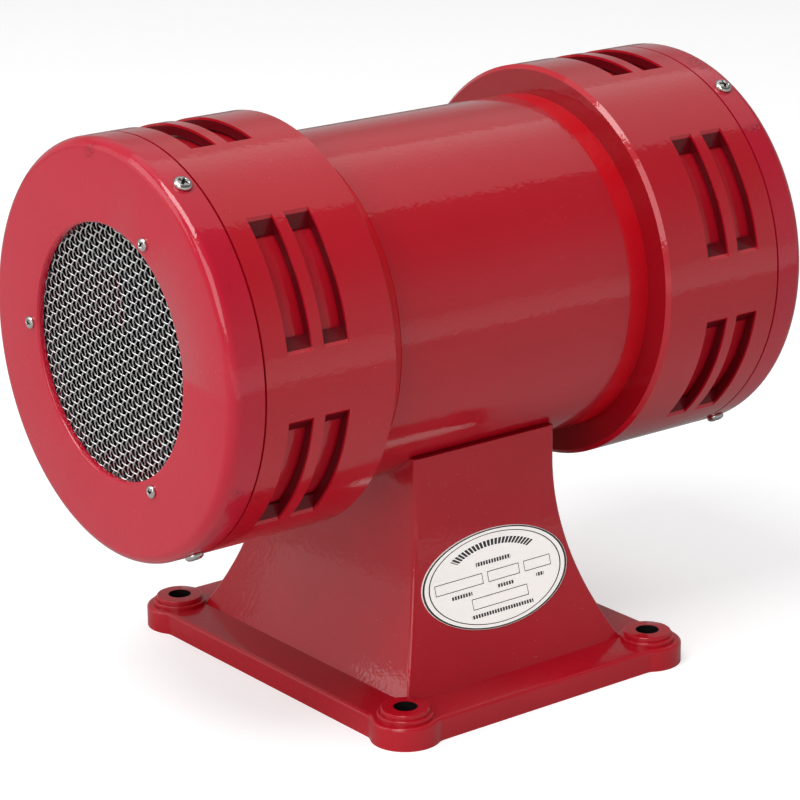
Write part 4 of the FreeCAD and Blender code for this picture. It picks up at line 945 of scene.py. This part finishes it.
def run_tree(name: str, values: Dict[str, object], build: Callable[[Tree], None],
             material: bpy.types.Material, source: Optional[bpy.types.Object] = None) -> bpy.types.Mesh:
    """Run a geometry tree on an empty carrier and return its result as a plain mesh.

    Args:
        name: the tree's name.
        values: its named number inputs.
        build: fills the tree the first time.
        material: what Set Material gives.
        source: an object that the tree repeats, if it takes one.

    Returns:
        The result as a mesh with no modifier.
    """
    tree = bpy.data.node_groups.get(name)
    if tree is None:
        tree = bpy.data.node_groups.new(name, "GeometryNodeTree")
        tree.interface.new_socket(name="Geometry", in_out="OUTPUT", socket_type="NodeSocketGeometry")
        tree.interface.new_socket(name="Geometry", in_out="INPUT", socket_type="NodeSocketGeometry")
        for label in values:
            tree.interface.new_socket(name=label, in_out="INPUT", socket_type="NodeSocketFloat")
        tree.interface.new_socket(name="Material", in_out="INPUT", socket_type="NodeSocketMaterial")
        if source is not None:
            tree.interface.new_socket(name="Source", in_out="INPUT", socket_type="NodeSocketObject")
        build(tree)
    carrier = link_object(name + "_carrier", bpy.data.meshes.new(name + "_carrier"))
    modifier = carrier.modifiers.new(name, "NODES")
    modifier.node_group = tree
    sockets = {item.name: item.identifier for item in tree.interface.items_tree if item.in_out == "INPUT"}
    for label, value in values.items():
        modifier[sockets[label]] = value
    modifier[sockets["Material"]] = material
    if source is not None:
        modifier[sockets["Source"]] = source
    evaluated = carrier.evaluated_get(bpy.context.evaluated_depsgraph_get())
    mesh = bpy.data.meshes.new_from_object(evaluated)
    carrier.modifiers.remove(modifier)
    bpy.data.objects.remove(carrier)
    return mesh


@dataclass
class PanScrew:
    """Pan-head cross-recess screw head, drawn once and repeated."""

    head_radius: float
    head_height: float
    recess_span: float = 0.60
    recess_width: float = 0.17
    recess_depth: float = 0.62
    recess_slope: float = 3.0
    seat_share: float = 0.97
    edge_low: float = 0.10
    edge_high: float = 0.38
    dome_power: float = 2.6
    rings: int = 15
    sides: int = 48

    def mesh(self) -> bpy.types.Mesh:
        """The head along +Z, its seat at the origin.

        Returns:
            A closed mesh with a cross pressed into its dome and the pressing's depth as the attribute "sunk".
        """
        work = bmesh.new()
        sunk = work.verts.layers.float.new("sunk")
        radius, height = self.head_radius, self.head_height
        outline = [(radius * self.seat_share, 0.0), (radius, height * self.edge_low),
                   (radius, height * self.edge_high)]
        for step in range(1, self.rings + 1):
            share = step / (self.rings + 1)
            reach = 1.0 - share
            dome = math.sqrt(1.0 - reach ** self.dome_power)
            outline.append((radius * reach, height * (self.edge_high + (1.0 - self.edge_high) * dome)))
        rows: List[List[bmesh.types.BMVert]] = []
        for reach, rise in outline:
            turns = (math.tau * side / self.sides for side in range(self.sides))
            rows.append([self.point(work, sunk, reach, turn, rise) for turn in turns])
        for lower, upper in zip(rows, rows[1:]):
            for side in range(self.sides):
                after = (side + 1) % self.sides
                work.faces.new((lower[side], lower[after], upper[after], upper[side]))
        top = self.point(work, sunk, 0.0, 0.0, height)
        foot = work.verts.new((0.0, 0.0, 0.0))
        for side in range(self.sides):
            after = (side + 1) % self.sides
            work.faces.new((rows[-1][side], rows[-1][after], top))
            work.faces.new((rows[0][after], rows[0][side], foot))
        for face in work.faces:
            face.smooth = True
        bmesh.ops.recalc_face_normals(work, faces=work.faces)
        mesh = bpy.data.meshes.new("pan_head")
        work.to_mesh(mesh)
        work.free()
        return mesh

    def point(self, work: bmesh.types.BMesh, sunk: bmesh.types.BMLayerItem, reach: float, turn: float,
              rise: float) -> bmesh.types.BMVert:
        """One point of the head, pressed in where the cross runs.

        Args:
            work: the mesh being drawn.
            sunk: the layer that keeps the depth.
            reach: distance from the head's axis.
            turn: angle about it.
            rise: height before pressing.

        Returns:
            The new point.
        """
        x, y = reach * math.cos(turn), reach * math.sin(turn)
        share = self.sink(x, y) if rise > self.head_height * 0.5 else 0.0
        made = work.verts.new((x, y, rise - share * self.recess_depth * self.head_height))
        made[sunk] = share
        return made

    def sink(self, x: float, y: float) -> float:
        """How deep the cross is at a point of the head, from 0 to 1."""
        radius = self.head_radius
        far = max(abs(x), abs(y)) / (radius * self.recess_span)
        near = min(abs(x), abs(y)) / (radius * self.recess_width)
        if far >= 1.0 or near >= 1.0:
            return 0.0
        return min(1.0, self.recess_slope * (1.0 - far)) * min(1.0, self.recess_slope * (1.0 - near))


@dataclass
class ScrewSet:
    """One node of like screws, set by Geometry Nodes round the siren's ends."""

    name: str
    node: str
    finish: Finish
    head: PanScrew
    station: float
    ring_radius: float
    radial: bool
    first_spin_deg: float = 12.0
    spin_step_deg: float = 58.0
    per_end: int = 3

    def spread(self, tree: Tree) -> None:
        """Fill the tree that sets the source on a ring of points.

        Args:
            tree: a geometry tree with its sockets already made.
        """
        g = Graph(tree)
        inp, end = g.add("NodeGroupInput").outputs, g.add("NodeGroupOutput")
        index = g.add("GeometryNodeInputIndex").outputs[0]
        points = g.add("GeometryNodeMeshLine", {"Count": inp["Count"]}, mode="OFFSET").outputs[0]
        angle = g.product(index, g.math("DIVIDE", math.tau, inp["Count"]))
        level, rise = g.math("COSINE", angle), g.math("SINE", angle)
        where = g.xyz(inp["Station"], g.product(level, inp["Ring Radius"]),
                      g.product(rise, inp["Ring Radius"]))
        placed = g.add("GeometryNodeSetPosition", {"Geometry": points, "Position": where}).outputs[0]
        source = g.add("GeometryNodeObjectInfo", {"Object": inp["Source"]}).outputs["Geometry"]
        facing = g.add("ShaderNodeMix", {0: inp["Radial"], 4: g.xyz(g.math("SIGN", inp["Station"])),
                                         5: g.xyz(0.0, level, rise)}, data_type="VECTOR").outputs[1]
        spin = g.xyz(z=g.math("MULTIPLY_ADD", index, inp["Spin Step"], inp["Spin"]))
        turn = g.add("FunctionNodeEulerToRotation", {0: spin}).outputs[0]
        aligned = g.add("FunctionNodeAlignRotationToVector", {"Vector": facing}, axis="Z").outputs[0]
        turned = g.add("FunctionNodeRotateRotation", {"Rotation": aligned, "Rotate By": turn},
                       rotation_space="LOCAL").outputs[0]
        copies = g.add("GeometryNodeInstanceOnPoints", {"Points": placed, "Instance": source,
                                                        "Rotation": turned}).outputs[0]
        finish_tree(g, copies, inp["Material"], end)

    def build(self) -> bpy.types.Object:
        """Set the heads on both ends.

        Returns:
            The piece that stands for the screw node.
        """
        source = link_object(self.name + "_source", self.head.mesh())
        join = bmesh.new()
        for end in End:
            values = {"Count": float(self.per_end), "Station": end.value * self.station,
                      "Ring Radius": self.ring_radius, "Radial": 1.0 if self.radial else 0.0,
                      "Spin": math.radians(self.first_spin_deg * end.value),
                      "Spin Step": math.radians(self.spin_step_deg)}
            part = run_tree("screw_ring", values, self.spread, self.finish.material(), source)
            join.from_mesh(part)
            bpy.data.meshes.remove(part)
        bpy.data.objects.remove(source)
        bmesh.ops.translate(join, vec=(0.0, 0.0, AXIS_HEIGHT), verts=join.verts)
        mesh = bpy.data.meshes.new(self.name)
        join.to_mesh(mesh)
        join.free()
        return put_for(self.node, self.name, mesh, self.finish)


@dataclass
class DressedNodes:
    """CAD nodes that keep their own shape and get a finish."""

    finishes: Dict[str, Finish] = field(default_factory=dict)

    def build(self) -> None:
        """Give every listed node its finish by the record's material slot."""
        for name, node in frame["nodes"].items():
            if node.hide_render:
                continue
            finish = self.finishes[slot_name(name)]
            node.data.materials.clear()
            node.data.materials.append(finish.material())
            LOG.info("%s: %s", name, finish.name)


# ---------------------------------------------------------------- studio


@dataclass(frozen=True)
class Lamp:
    """A soft box.

    Level ones face straight down, the others face the siren.
    """

    kind: Light
    place: Tuple[float, float, float]
    size: Tuple[float, float]
    power: float
    level: bool = False


@dataclass
class Studio:
    """Pale floor, soft lamps and the camera."""

    azimuth_deg: float = -37.79
    elevation_deg: float = 17.49
    roll_deg: float = -0.54
    distance: float = 1.23174
    aim_right: float = -0.00268
    aim_up: float = -0.0452
    lens: float = 136.57
    floor_size: float = 12.0
    lamps: Tuple[Lamp, ...] = (
        Lamp(Light.TOP, (0.55, 0.24, 1.75), (2.8, 1.6), 7.0, True),
        Lamp(Light.OVERHEAD, (-0.95, -0.2, 2.1), (1.2, 1.2), 31.0, True),
        Lamp(Light.KEY, (-2.0, -1.0, 1.2), (1.5, 1.5), 17.5),
        Lamp(Light.RIM, (-2.0, 1.0, 1.5), (1.5, 1.5), 12.0),
        Lamp(Light.FILL, (-1.65, 1.62, 0.62), (1.05, 1.3), 2.0),
    )
    ceiling: float = 0.13
    horizon: float = 0.42
    ceiling_from: float = 0.65
    target_share: float = 0.8
    soft_boost: float = 1.8
    backdrop: float = 0.34
    backdrop_back: Tuple[float, float] = (0.15, 0.5)
    backdrop_rise: Tuple[float, float] = (0.36, 0.6)
    floor_cells: int = 8
    floor_rough: float = 0.9
    floor_glow: float = 0.56
    floor_tone: float = 0.60
    floor_bounce: float = 0.25
    floor_dull: float = 0.20
    # painted reflection: the floor in front of this line glows in reflections only
    reflected_patch_edge: float = -0.60
    painted_reflection_glow: float = 0.45

    def floor(self) -> None:
        """Lay a wide pale floor that stays out of the object."""
        work = bmesh.new()
        cells = self.floor_cells
        bmesh.ops.create_grid(work, x_segments=cells, y_segments=cells, size=self.floor_size / 2)
        mesh = bpy.data.meshes.new("studio_floor")
        work.to_mesh(mesh)
        work.free()
        ground = link_object("studio_floor", mesh)
        made = bpy.data.materials.new("pale_floor")
        made.use_nodes = True
        made.node_tree.nodes.clear()
        graph = Graph(made.node_tree)
        ray = graph.add("ShaderNodeLightPath").outputs
        tone = graph.math("MULTIPLY_ADD", ray["Is Diffuse Ray"], self.floor_bounce, self.floor_tone)
        tone = graph.math("SUBTRACT", tone, graph.product(ray["Is Glossy Ray"], self.floor_dull))
        # painted reflection: a patch of floor that glows only in reflections
        front = graph.product(graph.math("LESS_THAN", graph.point()[1], self.reflected_patch_edge), ray["Is Glossy Ray"])
        glow = graph.math("MULTIPLY_ADD", ray["Is Camera Ray"], self.floor_glow,
                          graph.product(front, self.painted_reflection_glow))
        shader = graph.add("ShaderNodeBsdfPrincipled", {
            "Base Color": tone, "Roughness": self.floor_rough,
            "Emission Color": WHITE, "Emission Strength": glow})
        graph.add("ShaderNodeOutputMaterial", {"Surface": shader.outputs[0]})
        mesh.materials.append(made)

    def light(self) -> None:
        """Set the lamps and the pale surround."""
        target = Vector((0.0, 0.0, AXIS_HEIGHT * self.target_share))
        for lamp in self.lamps:
            box = bpy.data.lights.new("lamp_" + lamp.kind.value, "AREA")
            box.shape = "RECTANGLE"
            box.size, box.size_y = lamp.size
            box.energy = lamp.power
            holder = link_object("lamp_" + lamp.kind.value, box)
            holder.location = lamp.place
            if not lamp.level:
                holder.rotation_mode = "QUATERNION"
                holder.rotation_quaternion = (target - Vector(lamp.place)).to_track_quat("-Z", "Y")
        world = bpy.data.worlds.new("surround")
        bpy.context.scene.world = world
        world.use_nodes = True
        world.node_tree.nodes.clear()
        graph = Graph(world.node_tree)
        _, away, rise = graph.split(graph.add("ShaderNodeTexCoord").outputs["Generated"])
        dim = graph.ramp(rise, 0.0, self.ceiling_from)
        glow = graph.math("MULTIPLY_ADD", dim, self.ceiling - self.horizon, self.horizon)
        ray = graph.add("ShaderNodeLightPath").outputs
        soft = graph.math("MULTIPLY_ADD", ray["Is Diffuse Ray"], self.soft_boost - 1.0, 1.0)
        behind = graph.product(graph.ramp(away, *self.backdrop_back), graph.ramp(rise, *self.backdrop_rise))
        sheen = graph.product(behind, ray["Is Glossy Ray"], self.backdrop)
        glow = graph.math("ADD", graph.product(glow, soft), sheen)
        glow = graph.math("MAXIMUM", glow, ray["Is Camera Ray"])
        back = graph.add("ShaderNodeBackground", {"Color": WHITE, "Strength": glow})
        graph.add("ShaderNodeOutputWorld", {"Surface": back.outputs[0]})

    def camera(self) -> None:
        """Stand the camera at the siren's left front."""
        azimuth, elevation = math.radians(self.azimuth_deg), math.radians(self.elevation_deg)
        roll = math.radians(self.roll_deg)
        back = Vector((math.sin(azimuth) * math.cos(elevation), -math.cos(azimuth) * math.cos(elevation),
                       math.sin(elevation)))
        level = Vector((0, 0, 1)).cross(back).normalized()
        upright = back.cross(level)
        right = level * math.cos(roll) + upright * math.sin(roll)
        up = upright * math.cos(roll) - level * math.sin(roll)
        place = back * self.distance + right * self.aim_right + up * self.aim_up + Vector((0, 0, AXIS_HEIGHT))
        data = bpy.data.cameras.new("camera")
        data.lens = self.lens
        data.sensor_width = 36.0
        data.clip_start, data.clip_end = 0.05, 40.0
        holder = link_object("camera", data)
        holder.matrix_world = Matrix.Translation(place) @ Matrix((right, up, back)).transposed().to_4x4()
        bpy.context.scene.camera = holder

    def build(self) -> None:
        """Make the studio."""
        self.camera()
        self.floor()
        self.light()
        bpy.context.scene.view_settings.view_transform = "Standard"
        LOG.info("studio: %d lamps", len(self.lamps))


def moulded(name: str, base: Colour, pale: Colour, rough: float) -> MouldedFinish:
    """Moulded finish of two tones."""
    return MouldedFinish(name=name, base=base, pale=pale, rough=rough)


def metal(name: str, base: Colour, dark: Colour, rough: float) -> MetalFinish:
    """Metal finish of two tones."""
    return MetalFinish(name=name, base=base, dark=dark, rough=rough)


def finishes() -> Dict[str, Finish]:
    """Finish of each material slot.

    Returns:
        Slot name to finish.
    """
    return {
        "red_enamel": EnamelFinish(),
        "cap_enamel": EnamelFinish(name="cap_enamel", base=(0.45, 0.006, 0.026), deep=(0.42, 0.005, 0.022),
                                   under_gloss=0.08, coat_rough=0.07, scuffs=Scuffs(0.0745, 0.0826, 0.75)),
        "zinc_screw": MetalFinish(base=ZINC, rough=ZINC_ROUGH),
        "mesh_wire": metal("mesh_wire", (0.82, 0.82, 0.81), (0.6, 0.6, 0.6), 0.3),
        "steel": metal("turned_steel", (0.55, 0.55, 0.56), (0.36, 0.36, 0.37), 0.3),
        "lamination": StackFinish(),
        "copper": WindingFinish(),
        "brass": metal("brass", (0.78, 0.56, 0.24), (0.5, 0.33, 0.12), 0.28),
        "carbon": moulded("carbon", (0.02, 0.02, 0.02), (0.06, 0.06, 0.06), 0.6),
        "phenolic": moulded("phenolic_board", (0.16, 0.07, 0.03), (0.26, 0.12, 0.05), 0.5),
        "black_plastic": MouldedFinish(),
        "rubber": moulded("black_rubber", (0.012, 0.012, 0.012), (0.03, 0.03, 0.03), 0.75),
        "lead_brown": moulded("brown_insulation", (0.14, 0.05, 0.02), (0.2, 0.08, 0.03), 0.4),
        "lead_blue": moulded("blue_insulation", (0.01, 0.06, 0.3), (0.02, 0.1, 0.4), 0.4),
        "lead_green": moulded("green_insulation", (0.02, 0.22, 0.04), (0.04, 0.3, 0.06), 0.4),
        "label_white": LabelFinish(),
    }


def pedestal_finish() -> EnamelFinish:
    """Enamel of the pedestal, with painted shade inside its base bolt holes."""
    mount = frame["record"]["mounts"][0]["dims"]
    bolt = (mount["spacing_x_mm"] / 2000, mount["spacing_y_mm"] / 2000,
            mount["hole_r_mm"] / 1000 + HOLE_MARGIN)
    return EnamelFinish(name="cast_enamel", base=(0.47, 0.0042, 0.0160), coat=0.75, wave=0.46, peel=0.42,
                        holes=(bolt,))


def drum_finish() -> EnamelFinish:
    """Enamel of the drums: painted shade inside the windows and on the back face's edge, a painted red
    reflection on the collar, and less clear coat inside the windows and on the collar.
    """
    radius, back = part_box("drum_right")[1].y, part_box("barrel")[1].x
    # painted shade deep in the windows
    windows = PaintedLightBand(radius - 0.0010, back + 0.0317, back + 0.0617, (0.11, 0.0009, 0.0040), 0.2)
    # painted shade on the back face's edge
    back_face = PaintedLightBand(radius - 0.0018, back + 0.0100, back + 0.0106, (0.27, 0.0016, 0.0065), 1.0)
    # painted reflection of the red back face on the collar
    collar = PaintedLightBand(radius - 0.0110, back - 0.0005, back + 0.0101, (0.52, 0.0026, 0.0100), 0.3)
    return EnamelFinish(name="drum_enamel", painted_light_bands=(windows, back_face, collar))


def rotor_finish() -> EnamelFinish:
    """Enamel of the impellers: red on the rim, painted shade in near black inside it."""
    return EnamelFinish(name="rotor_enamel", shaded_within=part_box("impeller_right")[1].y - RIM_DEPTH)


def screws(half: float) -> List[ScrewSet]:
    """Both sets of screw heads.

    Args:
        half: half of the siren's length over its caps.

    Returns:
        The mesh screws on the caps' faces, and the cap screws round their rims.
    """
    # the cross recess of each head gets painted shade
    zinc = MetalFinish(name="pressed_zinc", base=ZINC, rough=ZINC_ROUGH, pressed="sunk")
    return [
        ScrewSet("mesh_screw_heads", "mesh_screws", zinc, PanScrew(head_radius=0.00255, head_height=0.0016),
                 station=half, ring_radius=0.05534, radial=False),
        ScrewSet("cap_screw_heads", "cap_screws", zinc, PanScrew(head_radius=0.0036, head_height=0.0022),
                 station=half - 0.00893, ring_radius=0.0825, radial=True),
    ]


def main() -> None:
    """Build the looks in order."""
    logging.basicConfig(level=logging.INFO, format="%(name)s %(message)s")
    by_slot = finishes()
    Studio().build()
    SmoothCasting("pedestal", pedestal_finish()).build()
    drum, rotor = drum_finish(), rotor_finish()
    for node in ("drum_right", "drum_left"):
        SmoothCasting(node, drum).build()
    for node in ("barrel", "cap_right", "cap_left"):
        SmoothCasting(node, by_slot[slot_name(node)]).build()
    for node in ("impeller_right", "impeller_left"):
        SmoothCasting(node, rotor).build()
    for end in End:
        IntakeGuard(end, by_slot["mesh_wire"]).build()
    for heads in screws(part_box("cap_right")[1].x):
        heads.build()
    DressedNodes(by_slot).build()


if __name__ == "__main__":
    main()
